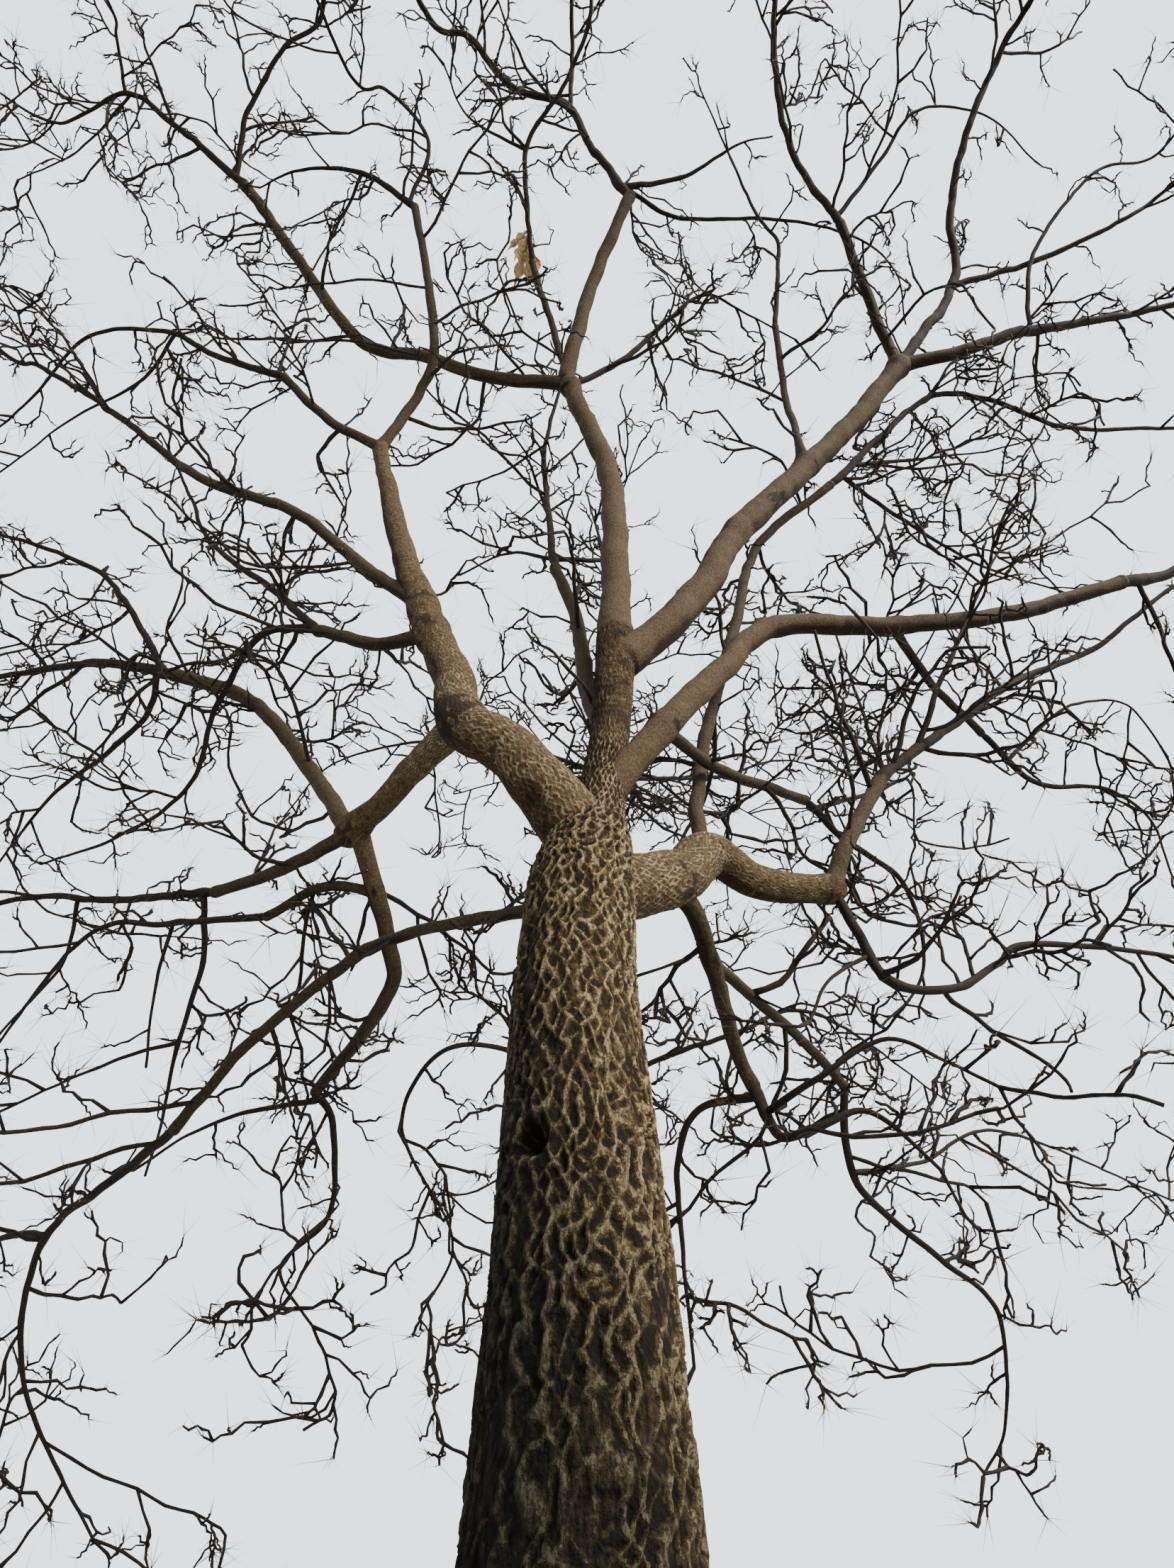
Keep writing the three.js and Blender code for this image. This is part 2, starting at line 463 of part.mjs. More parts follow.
// The twigs of one branch: they stand off it in turn round its line, each
// with one bend, and are left out where they would leave the mass's space.
function twigsAlong(limb, random, space) {
  const twigs = [];
  let turn = random() * 2 * Math.PI;
  const places = [];
  const nextStep = () => TWIG.spacing * (TWIG.closest + TWIG.spacingSpread * random());
  for (let s = TWIG.firstPlace; s < limb.length; s += nextStep()) {
    places.push(s / limb.length);
  }
  places.push(1);
  for (const share of places) {
    const point = limb.curve.getPoint(share);
    const along = limb.curve.getTangent(share);
    const side = squareTo(along).applyAxisAngle(along, turn);
    turn += GOLDEN_TURN;
    const spread = (share === 1 ? TWIG.angleAtTip : 1) * TWIG.angle * DEGREE;
    const first = along.clone().multiplyScalar(Math.cos(spread)).addScaledVector(side, Math.sin(spread));
    const chance = 1 + TWIG.lengthSpread * (random() * 2 - 1);
    const reach = TWIG.length * chance * (1 - TWIG.shorterAtTip * share);
    const bendAxis = along.clone().cross(first).normalize();
    const second = first.clone().applyAxisAngle(bendAxis, (random() * 2 - 1) * TWIG.bend * DEGREE);
    second.z += TWIG.tipLift;
    second.normalize();
    const limbRadius = limb.foot + (limb.tip - limb.foot) * share;
    const middle = point.clone().addScaledVector(first, reach / 2);
    const end = middle.clone().addScaledVector(second, reach / 2);
    const checks = [middle, end, point.clone().lerp(middle, 0.6), middle.clone().lerp(end, 0.5)];
    if (!checks.every((spot) => inOwnSpace(spot, limb.mass, space))) continue;
    const radius = Math.min(limbRadius * TWIG.thickness, TWIG.thickest);
    const root = point.clone().addScaledVector(first, -limbRadius * (1 - TWIG.sunk));
    const radii = [radius, (radius + TWIG.thinnest) / 2, TWIG.thinnest];
    twigs.push(ringedSolid([root, middle, end], (ring) => radii[ring], TWIG.sides));
  }
  return twigs;
}

function toMesh(solid, name, colour, roughness) {
  const { vertProperties, triVerts } = solid.getMesh();
  const geometry = new THREE.BufferGeometry();
  geometry.setAttribute("position", new THREE.BufferAttribute(new Float32Array(vertProperties), 3));
  geometry.setIndex(new THREE.BufferAttribute(new Uint32Array(triVerts), 1));
  geometry.computeVertexNormals();
  const material = new THREE.MeshStandardMaterial({ color: colour, roughness, metalness: 0 });
  const mesh = new THREE.Mesh(geometry, material);
  mesh.name = name;
  return mesh;
}

function barkColourOf(limb) {
  if (limb.name === "pale_mid") return BARK.pale;
  return limb.foot > THICK_LIMB * CM / 2 ? BARK.thick : BARK.limb;
}

function buildTree() {
  const tree = new THREE.Group();
  tree.name = "bare_winter_tree";
  const limbs = layOutLimbs();
  const space = measureSpace(limbs);
  const placed = [{ grown: trunkSolid(CLEARANCE) }];
  tree.add(toMesh(trunkSolid(0), "trunk", BARK.trunk, 0.92));

  for (const limb of limbs.values()) {
    if (limb.mass) continue;
    let solid = limbSolid(limb, RINGS_PER_LEG, 0);
    for (const { grown } of placed) {
      if (boxesMeet(solid, grown)) solid = solid.subtract(grown);
    }
    solid = largestBody(solid);
    placed.push({ grown: limbSolid(limb, RINGS_PER_LEG, CLEARANCE) });
    tree.add(toMesh(solid, `bough_${limb.name}`, barkColourOf(limb), 0.9));
  }

  const masses = [...new Set([...limbs.values()].map((limb) => limb.mass).filter(Boolean))];
  masses.forEach((mass, index) => {
    const random = seededRandom(index + 1);
    const pieces = [];
    for (const limb of limbs.values()) {
      if (limb.mass !== mass) continue;
      pieces.push(limbSolid(limb, 1, 0), ...twigsAlong(limb, random, space));
    }
    let solid = wasm.Manifold.union(pieces);
    for (const { grown } of placed) {
      if (boxesMeet(solid, grown)) solid = solid.subtract(grown);
    }
    solid = largestBody(solid);
    tree.add(toMesh(solid, `twigs_${mass}`, TWIG_COLOUR, 0.85));
  });
  return tree;
}

export default buildTree();
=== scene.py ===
"""A bare winter tree: furrowed trunk, crooked boughs, knobbly twigs and hair-thin stalks.

Metres, +Z up, with the origin in the middle of the flat cut at ground level.
"""

import bpy
import numpy as np
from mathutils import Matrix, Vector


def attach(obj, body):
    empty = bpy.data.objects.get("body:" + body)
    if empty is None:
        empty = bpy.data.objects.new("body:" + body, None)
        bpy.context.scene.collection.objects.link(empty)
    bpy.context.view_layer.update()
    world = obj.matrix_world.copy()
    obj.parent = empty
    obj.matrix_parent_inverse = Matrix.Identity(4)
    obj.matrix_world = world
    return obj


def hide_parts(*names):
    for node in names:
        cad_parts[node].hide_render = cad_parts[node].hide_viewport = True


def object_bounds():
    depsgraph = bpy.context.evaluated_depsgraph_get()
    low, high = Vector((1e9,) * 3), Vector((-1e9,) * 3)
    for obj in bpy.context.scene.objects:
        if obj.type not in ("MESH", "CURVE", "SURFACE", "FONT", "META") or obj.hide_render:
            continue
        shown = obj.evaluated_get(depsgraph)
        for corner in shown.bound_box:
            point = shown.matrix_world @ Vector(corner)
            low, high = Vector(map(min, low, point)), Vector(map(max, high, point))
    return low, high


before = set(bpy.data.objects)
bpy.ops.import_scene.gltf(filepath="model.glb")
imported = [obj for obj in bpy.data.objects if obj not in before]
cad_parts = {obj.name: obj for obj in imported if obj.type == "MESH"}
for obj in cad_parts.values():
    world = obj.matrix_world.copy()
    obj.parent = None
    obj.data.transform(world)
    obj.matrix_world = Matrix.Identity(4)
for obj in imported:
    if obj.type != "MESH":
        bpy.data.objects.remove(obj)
size_at_start = [list(corner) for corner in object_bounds()]


# The trunk: one stout column of living wood, 5.95 m tall, 84 cm across its flared foot, 31 cm at the
# first fork and 18 cm at its top, cut flat at the ground. Its thick corky bark is split into lozenge
# furrows in a braided net of pale ridges. A burl, a dark hollow and a knob are on its front.
TRUNK_CM = [  # height, diameter, shift to the right, shift to the back
    [0, 84, 0, 0], [10, 72, 0, 0], [26, 63, 0, 0], [50, 58, 0, 0], [85, 55, 0, 0],
    [130, 53, -0.5, 0], [190, 50.5, -0.8, 0], [243, 47.6, -1, 0], [302, 42.8, -1, 0],
    [341, 40, -2, 0], [391, 36.3, -3.5, 0], [438, 34.8, -2, 0], [455, 31, 0, 0],
    [476, 18.5, 4, 0], [520, 15.6, 8.5, -1], [572, 17.1, 11.5, -2], [595, 18, 12.5, -3],
]
TRUNK = np.array(TRUNK_CM) / 100
TOP = TRUNK[-1, 0]
FORK = 4.5
FURROWS_ROUND_TRUNK = 28
BURL, HOLLOW, KNOB = (  # the trunk's radius there, shift to the right, height, size
    (0.238, 0.072, 2.5, 0.062), (0.206, -0.12, 3.27, 0.034), (0.08, 0.02, 5.06, 0.03),
)


def smooth(share):
    """0 below 0, 1 above 1 and 3t^2 - 2t^3 between them."""
    t = np.clip(share, 0, 1)
    return t * t * (3 - 2 * t)


def hump(distance):
    """A rounded hump: exp(-distance^2)."""
    return np.exp(-(distance**2))


def hashed(whole, seed):
    """A fixed number from 0 to 1 for each column of whole numbers: they are multiplied by primes,
    mixed bit by bit, and the low 24 bits kept."""
    primes = (73856093, 19349663, 83492791)
    key = np.full(whole[0].shape, seed * 2654435761 % 1000003, np.int64)
    for number, prime in zip(whole, primes):
        key = key ^ (number.astype(np.int64) * prime)
        key = (key ^ (key >> 13)) * 1274126177
    key = key ^ (key >> 16)
    return (key & 0xFFFFFF) / 0xFFFFFF


def soft_noise(points, size, seed):
    """Smooth noise from 0 to 1: fixed random values at the corners of boxes of that size, blended
    across each box by 3t^2 - 2t^3 in all three directions."""
    scaled = points / np.asarray(size)
    corner = np.floor(scaled)
    t = smooth(scaled - corner)
    total = np.zeros(points.shape[:-1])
    for number in range(8):
        step = np.array([number & 1, number >> 1 & 1, number >> 2])
        weight = np.prod(np.where(step, t, 1 - t), axis=-1)
        total += weight * hashed([corner[..., k] + step[k] for k in range(3)], seed)
    return total


def braided_ridges(turns, rows, cells, warp, seed):
    """A braided net of ridges. Two families of slanting lines lie where turns * cells + rows and
    turns * cells - rows, each moved by the warp, are whole numbers. Their stretches between crossings
    form upright zigzags, of which every other one is strong. Returns both places on the net, the
    strength of the nearest line of each family, and the height of the ridges from 0 to 1."""
    lines = (turns * cells + rows + warp[0], turns * cells - rows + warp[1])
    strengths, net = [], 0
    for family in (0, 1):
        number, place = np.round(lines[family]), np.floor(lines[1 - family])
        share = lines[1 - family] - place
        near = []
        for step in (-1, 0, 1):
            column = (number + place + step) % (2 * cells)
            row = (number - place - step) * (1 - 2 * family)
            value = 0.75 * hashed([column, np.floor(row / 3)], seed) + 0.45 * hashed([column, row], seed + 1)
            near.append(smooth(1.25 * np.where(column % 2 == 0, value + 0.12, value - 0.26)))
        before, own, after = near
        strength = own + 0.8 * np.maximum(before - own, 0) * smooth(1 - share / 0.25)
        strength += 0.8 * np.maximum(after - own, 0) * smooth((share - 0.75) / 0.25)
        strengths.append(strength)
        net = np.maximum(net, smooth((strength - 4.4 * np.abs(lines[family] - number)) / 0.7))
    return lines, strengths, net


def capped(grid, extra=0):
    """A grid's values in a row, its last ring repeated for a dome, then one value for either pole."""
    full = np.vstack([grid, np.repeat(grid[-1:], extra, axis=0)])
    return np.concatenate([full.ravel(), [grid[0].mean(), grid[-1].mean()]])


def braid_values(triangles, turns, lines, strengths, cells, extra=0):
    """What the bark's shader needs to draw sharp ridges: both strengths for each vertex, and the
    places on the net for each triangle corner, carried on past the seam where the sides close."""
    at = capped(turns, extra)[triangles]
    past = (at.max(axis=1, keepdims=True) - at > 0.5) * cells
    corners = [capped(line, extra)[triangles] + past for line in lines] + [0 * at]
    rising, falling = (capped(strength, extra) for strength in strengths)
    return {"braid": np.stack(corners, axis=-1).reshape(-1, 3), "rising": rising, "falling": falling}


def unit(vectors):
    """The vectors at length 1."""
    return vectors / np.linalg.norm(vectors, axis=-1, keepdims=True)


def round_upright(radius, angle, height):
    """Points at a radius and an angle round the upright, and at a height."""
    return np.stack([radius * np.cos(angle), radius * np.sin(angle), height + 0 * angle], axis=-1)


def trunk_profile(height):
    """Radius and sideways shift at a height: the trunk's rows joined by straight lines and averaged
    over 6 cm up and down."""
    nearby = np.clip(np.asarray(height)[..., None] + np.linspace(-0.06, 0.06, 9), 0, TOP)
    diameter, x, y = (np.interp(nearby, TRUNK[:, 0], TRUNK[:, k]).mean(-1) for k in (1, 2, 3))
    return diameter / 2, x, y


def closed_grid(rings, sides):
    """Triangles between neighbouring rings of a grid that closes round, with a fan from the first
    ring to a pole numbered after the grid and one from the last ring to the pole after that."""
    ring, side = np.meshgrid(np.arange(rings - 1), np.arange(sides), indexing="ij")
    following = (side + 1) % sides
    a, b = ring * sides + side, ring * sides + following
    c, d = (ring + 1) * sides + following, (ring + 1) * sides + side
    walls = np.stack([a, b, c, a, c, d], axis=-1).reshape(-1, 3)
    around = np.arange(sides)
    onward = (around + 1) % sides
    low, high = rings * sides, rings * sides + 1
    last = (rings - 1) * sides
    foot = np.stack([onward, around, np.full(sides, low)], axis=-1)
    top = np.stack([last + around, last + onward, np.full(sides, high)], axis=-1)
    return np.vstack([walls, foot, top])


def joined_mesh(name, vertices, triangles, attributes, material, slot, nodes):
    """One smooth object from arrays of vertices and triangles, with named values for each vertex or,
    if they are vectors, for each triangle corner."""
    mesh = bpy.data.meshes.new(name)
    mesh.vertices.add(len(vertices))
    mesh.vertices.foreach_set("co", np.ascontiguousarray(vertices, np.float32).ravel())
    mesh.loops.add(triangles.size)
    mesh.loops.foreach_set("vertex_index", np.ascontiguousarray(triangles, np.int32).ravel())
    mesh.polygons.add(len(triangles))
    mesh.polygons.foreach_set("loop_start", np.arange(0, triangles.size, 3, dtype=np.int32))
    mesh.update(calc_edges=True)
    mesh.polygons.foreach_set("use_smooth", np.ones(len(triangles), bool))
    for title, values in attributes.items():
        by_corner = values.ndim == 2
        kind = ("FLOAT_VECTOR", "CORNER") if by_corner else ("FLOAT", "POINT")
        layer = mesh.attributes.new(title, *kind)
        field = "vector" if by_corner else "value"
        layer.data.foreach_set(field, np.ascontiguousarray(values, np.float32).ravel())
    mesh.materials.append(material)
    piece = bpy.data.objects.new(name, mesh)
    bpy.context.scene.collection.objects.link(piece)
    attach(piece, "root")
    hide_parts(*nodes)


def from_mark(mark, turn, h, squash=1):
    """Distance over the bark from a mark on the trunk's front, as a share of the mark's size."""
    radius, right, height, size = mark
    return np.hypot(turn * radius - right, (h - height) * squash) / size


def trunk_surface(columns):
    """The trunk's bark. Level rings of the profile's radius, with five root ribs that fade upwards,
    are pushed out by the braided ridges, by rough plates between them and by wrinkles at the fork.
    The burl, the knob and the hollow's rim are rounded swellings and the hollow a rounded pit."""
    height = np.concatenate([
        np.linspace(0, 2.2, 100, endpoint=False),
        np.linspace(2.2, 4.75, 232, endpoint=False),
        np.linspace(4.75, TOP, 76),
    ])
    angle = np.arange(columns) * 2 * np.pi / columns
    radius, shift_x, shift_y = (part[:, None] for part in trunk_profile(height))
    h, a = height[:, None], angle[None, :]
    cell_height = np.interp(height, [0, 1.5, 2.5, 3.3, 4.5, TOP], [0.24, 0.15, 0.125, 0.1, 0.078, 0.06])
    steps = np.diff(height) / (cell_height[1:] + cell_height[:-1]) * 2
    rows = np.concatenate([[0], np.cumsum(steps)])[:, None]
    ribs = 0.13 * np.exp(-h / 0.32) * np.cos(5 * a + 0.6)
    plain = radius * (1 + ribs)
    place = round_upright(plain, a, h)

    near_fork = hump((h - FORK) / 0.2)
    warp = []
    for seed in (11, 12):
        wide = soft_noise(place, (0.2, 0.2, 0.3), seed) - 0.5
        middle = soft_noise(place, (0.075, 0.075, 0.1), seed + 10) - 0.5
        fine = soft_noise(place, (0.036, 0.036, 0.05), seed + 20) - 0.5
        warp.append(1.3 * wide + 1.2 * middle + 0.75 * fine * (1 + 0.7 * near_fork))
    turns = a / (2 * np.pi) + 0 * h
    lines, strengths, net = braided_ridges(turns, rows, FURROWS_ROUND_TRUNK, warp, 5)
    upward = np.interp(height, [0, FORK, 4.85, TOP], [1, 1, 0.75, 0.5])[:, None]
    upward = upward * (0.72 + 0.5 * soft_noise(place, (0.16, 0.16, 0.4), 38))
    net = net * upward

    plates = 0.6 * soft_noise(place, (0.03, 0.03, 0.05), 31)
    plates += 0.4 * soft_noise(place, (0.016, 0.016, 0.03), 32)
    deep = smooth(3.4 * soft_noise(place, (0.035, 0.035, 0.11), 35) - 1.5)
    deep = deep * smooth(2.6 * soft_noise(place, (0.09, 0.09, 0.3), 36) - 0.5)
    stripes = smooth(3.6 * soft_noise(place, (0.075, 0.075, 0.36), 39) - 1.65)
    furrow = (1 - net) * (0.3 + 0.9 * deep) * upward
    depth = np.interp(height, [0, 2, 4.3, 4.9, TOP], [0.011, 0.008, 0.0055, 0.004, 0.004])[:, None]
    relief = depth * (net - 0.85 * furrow + 1.3 * (plates - 0.5) * (1 - 0.6 * net))
    relief += 0.003 * (soft_noise(place, (0.02, 0.02, 0.03), 33) - 0.5)
    wrinkles = np.sin(2 * np.pi * h / 0.05 + 9 * soft_noise(place, 0.12, 34))
    relief += 0.006 * near_fork * wrinkles * (1 - 0.5 * net)

    turn = np.angle(np.exp(1j * (a + np.pi / 2)))
    burl, knob = from_mark(BURL, turn, h), from_mark(KNOB, turn, h)
    hollow = from_mark(HOLLOW, turn, h, 0.85)
    relief += 0.03 * hump(burl)
    relief += 0.016 * np.exp(-((hollow - 1.7) ** 2) * 2.5) - 0.06 * np.exp(-(hollow**2) * 0.8)
    relief += 0.012 * hump(knob)
    strengths = [strength * upward * (1 - np.exp(-(hollow**2) * 0.6)) for strength in strengths]

    collar = near_fork * np.clip(wrinkles + 0.3, 0, 1) * soft_noise(place, (0.09, 0.09, 0.03), 37)
    pits = 1.4 * np.exp(-0.5 * hollow**2) + 0.6 * hump(knob)
    near_ground = 1 - smooth((h - 1.1) / 3.8)
    shares = {
        "ridge": np.clip(0.8 * np.exp(-3.2 * burl**2) + 0.9 * collar, 0, 1),
        "hollow": np.clip(furrow + 0.95 * stripes * (1 - 0.75 * net) + pits, 0, 1),
        # Painted shade stored for the shader: darker on the left side, turned away from the lamp, and much
        # darker towards the foot, most on the lamp's side there.
        "painted_shade": 0.5 - 0.5 * np.cos(a) + (1.35 + 0.4 * np.clip(np.cos(a), 0, 1)) * near_ground,
        "neck": smooth((h - 4.75) / 0.9) + 0 * a,
    }
    surface = plain + relief - 0.004
    shift = np.stack([shift_x, shift_y, 0 * shift_x], axis=-1)
    walls = round_upright(surface, a, h) + shift
    rise = np.radians([25, 50, 72])[:, None]
    dome = round_upright(surface[-1:] * np.cos(rise), a, TOP + 0.07 * np.sin(rise)) + shift[-1]
    poles = [[0, 0, 0], shift[-1, 0] + [0, 0, TOP + 0.072]]
    vertices = np.vstack([walls.reshape(-1, 3), dome.reshape(-1, 3), poles])
    triangles = closed_grid(len(height) + len(dome), columns)
    values = braid_values(triangles, turns, lines, strengths, FURROWS_ROUND_TRUNK, len(dome))
    values.update({title: capped(share, len(dome)) for title, share in shares.items()})
    return vertices, triangles, values


def fill(tree, socket, value):
    """Links a socket to another node's output, or gives it a plain value."""
    if isinstance(value, bpy.types.NodeSocket):
        tree.links.new(value, socket)
    else:
        socket.default_value = value


def node(tree, kind, *inputs, **settings):
    """A new shader node. A setting that names one of its sockets fills that, and any other sets the
    node itself. The inputs then fill the sockets in order, and None leaves one as it is."""
    made = tree.nodes.new(kind)
    for title, value in settings.items():
        socket = made.inputs.get(title.replace("_", " "))
        if socket is None:
            setattr(made, title, value)
        else:
            fill(tree, socket, value)
    for socket, value in zip(made.inputs, inputs):
        if value is not None:
            fill(tree, socket, value)
    return made


def maths(tree, operation, *values):
    """The result of one sum with numbers."""
    return node(tree, "ShaderNodeMath", *values, operation=operation).outputs[0]


def reading(tree, title):
    """The value stored for each vertex under that name."""
    return node(tree, "ShaderNodeAttribute", attribute_name=title).outputs["Fac"]


def sum_of(tree, first, second, share=1.0):
    """The first value plus a share of the second."""
    return maths(tree, "MULTIPLY_ADD", second, share, first)


def spread(tree, value, low, high):
    """A value stretched so that low becomes 0 and high becomes 1, with a soft start and end."""
    stretch = node(tree, "ShaderNodeMapRange", value, low, high, interpolation_type="SMOOTHSTEP")
    return stretch.outputs["Result"]


def mixed(tree, share, first, second):
    """One colour blended into another by a share."""
    pair = [(*colour, 1) if isinstance(colour, tuple) else colour for colour in (first, second)]
    not_colours = [None] * 5
    return node(tree, "ShaderNodeMix", share, *not_colours, *pair, data_type="RGBA").outputs[2]


def layered(tree, skin, *layers):
    """A colour with others laid over it, each where its value rises from low to high."""
    for value, low, high, colour in layers:
        skin = mixed(tree, spread(tree, value, low, high), skin, colour)
    return skin


def darkened(tree, share, skin, tint):
    """A colour multiplied by a dark tint where the share is high."""
    return node(tree, "ShaderNodeMixRGB", share, skin, (*tint, 1), blend_type="MULTIPLY").outputs[0]


def new_group(name, inputs, outputs):
    """An empty shader group with number inputs that start at a value and the named kinds of output.
    Returns it, what comes in and what goes out."""
    group = bpy.data.node_groups.new(name, "ShaderNodeTree")
    for title, start in inputs.items():
        socket = group.interface.new_socket(title, in_out="INPUT", socket_type="NodeSocketFloat")
        socket.default_value = start
    for title, kind in outputs.items():
        group.interface.new_socket(title, in_out="OUTPUT", socket_type="NodeSocket" + kind)
    entry, leaving = group.nodes.new("NodeGroupInput"), group.nodes.new("NodeGroupOutput")
    return group, entry.outputs, leaving.inputs


def bark_grain():
    """A shader group for the fine grain of bark: flecks, fibres and flakes of a given size, longer
    than wide, as values and as a bumped normal of a given depth, with a further height added in."""
    results = {"Fleck": "Float", "Fibre": "Float", "Flake": "Float", "Normal": "Vector"}
    group, given, out = new_group("bark grain", {"Fineness": 60.0, "Relief": 0.004, "Height": 0.0}, results)
    fineness = given["Fineness"]
    place = node(group, "ShaderNodeTexCoord").outputs["Object"]
    squeezed = node(group, "ShaderNodeMapping", Vector=place, Scale=(1, 1, 0.38)).outputs[0]
    fleck = node(group, "ShaderNodeTexNoise", Vector=place, Scale=fineness, Detail=3.0, Roughness=0.6)
    fibre = node(group, "ShaderNodeTexNoise", Vector=squeezed, Detail=4.0, Roughness=0.65)
    fill(group, fibre.inputs["Scale"], maths(group, "MULTIPLY", fineness, 2.7))
    stir = (fleck.outputs["Color"], (0.012, 0.012, 0.012), squeezed)
    stirred = node(group, "ShaderNodeVectorMath", *stir, operation="MULTIPLY_ADD").outputs[0]
    flake = node(group, "ShaderNodeTexVoronoi", Vector=stirred)
    fill(group, flake.inputs["Scale"], maths(group, "MULTIPLY", fineness, 1.5))
    height = sum_of(group, fibre.outputs["Fac"], fleck.outputs["Fac"], 1.4)
    height = sum_of(group, height, flake.outputs["Distance"], -0.5)
    height = sum_of(group, height, given["Height"], 0.35)
    bump = node(group, "ShaderNodeBump", Height=height, Distance=given["Relief"])
    made = (fleck.outputs["Fac"], fibre.outputs["Fac"], flake.outputs["Distance"], bump.outputs["Normal"])
    for title, value in zip(results, made):
        fill(group, out[title], value)
    return group


def bark_braid():
    """A shader group for sharp braided ridges. A ridge lies where either part of the stored place on
    the net is a whole number. It is wider where the stored strength is higher, and its edges fray.
    It puts out the ridge, a wider soft halo round it, and a random value for each mesh of the net."""
    results = {"Ridge": "Float", "Halo": "Float", "Mesh": "Float"}
    group, given, out = new_group("bark braid", {"Fray": 0.3, "Cells": 28.0}, results)
    place = node(group, "ShaderNodeTexCoord").outputs["Object"]
    stored = node(group, "ShaderNodeAttribute", attribute_name="braid").outputs["Vector"]
    noise = node(group, "ShaderNodeTexNoise", Vector=place, Scale=70.0, Detail=4.0, Roughness=0.7)
    gaps = node(group, "ShaderNodeTexNoise", Vector=place, Scale=32.0, Detail=2.0, Roughness=0.6)
    middle = (0.5, 0.5, 0.5)
    even = node(group, "ShaderNodeVectorMath", noise.outputs["Color"], middle, operation="SUBTRACT")
    shift = node(group, "ShaderNodeVectorMath", even.outputs[0], operation="SCALE", Scale=given["Fray"])
    frayed = node(group, "ShaderNodeVectorMath", stored, shift.outputs[0], operation="ADD")
    part = node(group, "ShaderNodeSeparateXYZ", frayed.outputs[0])
    heights, numbers = [], []
    for axis, title in (("X", "rising"), ("Y", "falling")):
        distance = maths(group, "PINGPONG", part.outputs[axis], 0.5)
        height = sum_of(group, reading(group, title), distance, -5.4)
        heights.append(sum_of(group, height, gaps.outputs["Fac"], 3.6))
        whole = maths(group, "FLOOR", part.outputs[axis])
        numbers.append(maths(group, "FLOORED_MODULO", whole, given["Cells"]))
    highest = maths(group, "MAXIMUM", *heights)
    corner = node(group, "ShaderNodeCombineXYZ", *numbers).outputs[0]
    mesh = node(group, "ShaderNodeTexWhiteNoise", noise_dimensions="3D", Vector=corner).outputs["Value"]
    made = (spread(group, highest, 1.8, 2.3), spread(group, highest, 0.7, 2.3), mesh)
    for title, value in zip(results, made):
        fill(group, out[title], value)
    return group


def bark_material(name, fineness, relief, roughness):
    """A new material with the grain group in it. Returns it, its node tree, the socket for its
    colour, and the grain."""
    material = bpy.data.materials.new(name)
    material.use_nodes = True
    tree = material.node_tree
    shader = tree.nodes["Principled BSDF"]
    shader.inputs["Roughness"].default_value = roughness
    shader.inputs["Specular IOR Level"].default_value = 0.05
    grain = node(tree, "ShaderNodeGroup", node_tree=bark_grain_group, Fineness=fineness, Relief=relief)
    tree.links.new(grain.outputs["Normal"], shader.inputs["Normal"])
    return material, tree, shader.inputs["Base Color"], grain


bark_grain_group = bark_grain()
bark_braid_group = bark_braid()
trunk_bark, tree, colour, grain = bark_material("trunk bark", 42.0, 0.012, 0.92)
fleck, fibre, flake = (grain.outputs[title] for title in ("Fleck", "Fibre", "Flake"))
braid = node(tree, "ShaderNodeGroup", node_tree=bark_braid_group, Fray=0.5, Cells=FURROWS_ROUND_TRUNK).outputs
tree.links.new(braid["Ridge"], grain.inputs["Height"])
plate = layered(
    tree, (0.0085, 0.0051, 0.0019), (fleck, 0.36, 0.66, (0.052, 0.034, 0.0125)),
    (fibre, 0.44, 0.6, (0.022, 0.0128, 0.0045)), (flake, 0.35, 0.7, (0.006, 0.0034, 0.0014)),
)
lozenge = spread(tree, sum_of(tree, braid["Mesh"], fleck, 0.5), 0.8, 1.1)
pit = spread(tree, sum_of(tree, reading(tree, "hollow"), fleck, 0.9), 0.8, 1.4)
dark = mixed(tree, maths(tree, "MAXIMUM", lozenge, pit), plate, (0.0055, 0.0031, 0.0014))
halo = sum_of(tree, braid["Halo"], fibre, 1.3)
soft = layered(tree, dark, (halo, 0.8, 1.75, (0.05, 0.033, 0.0135)))
edge = sum_of(tree, braid["Ridge"], reading(tree, "ridge"), 0.8)
edge = spread(tree, sum_of(tree, edge, fibre, 1.6), 1.0, 1.75)
pale = layered(tree, (0.054, 0.039, 0.018), (fibre, 0.42, 0.58, (0.125, 0.1, 0.056)))
bark = mixed(tree, edge, soft, pale)
object_place = node(tree, "ShaderNodeTexCoord").outputs["Object"]
wide = node(tree, "ShaderNodeTexNoise", object_place, Scale=9.0, Detail=3.0, Roughness=0.6).outputs["Fac"]
young = layered(tree, (0.0115, 0.0072, 0.003), (fleck, 0.36, 0.66, (0.039, 0.0255, 0.0105)))
young = mixed(tree, edge, young, (0.074, 0.053, 0.026))
patches = sum_of(tree, wide, fibre, 0.6)
young = layered(tree, young, (patches, 0.74, 0.93, (0.0085, 0.0052, 0.0024)))
bark = layered(tree, bark, (reading(tree, "neck"), 0.0, 0.9, young))
# Painted shade: the bark is multiplied by a dark grey where the stored shade value is high, on the left side
# and towards the foot.
damp_and_painted_shade = spread(tree, sum_of(tree, reading(tree, "painted_shade"), fleck, 0.5), 0.45, 2.0)
tree.links.new(darkened(tree, damp_and_painted_shade, bark, (0.11, 0.127, 0.132)), colour)
joined_mesh("trunk_bark", *trunk_surface(columns=232), trunk_bark, "trunk_bark", ["trunk"])


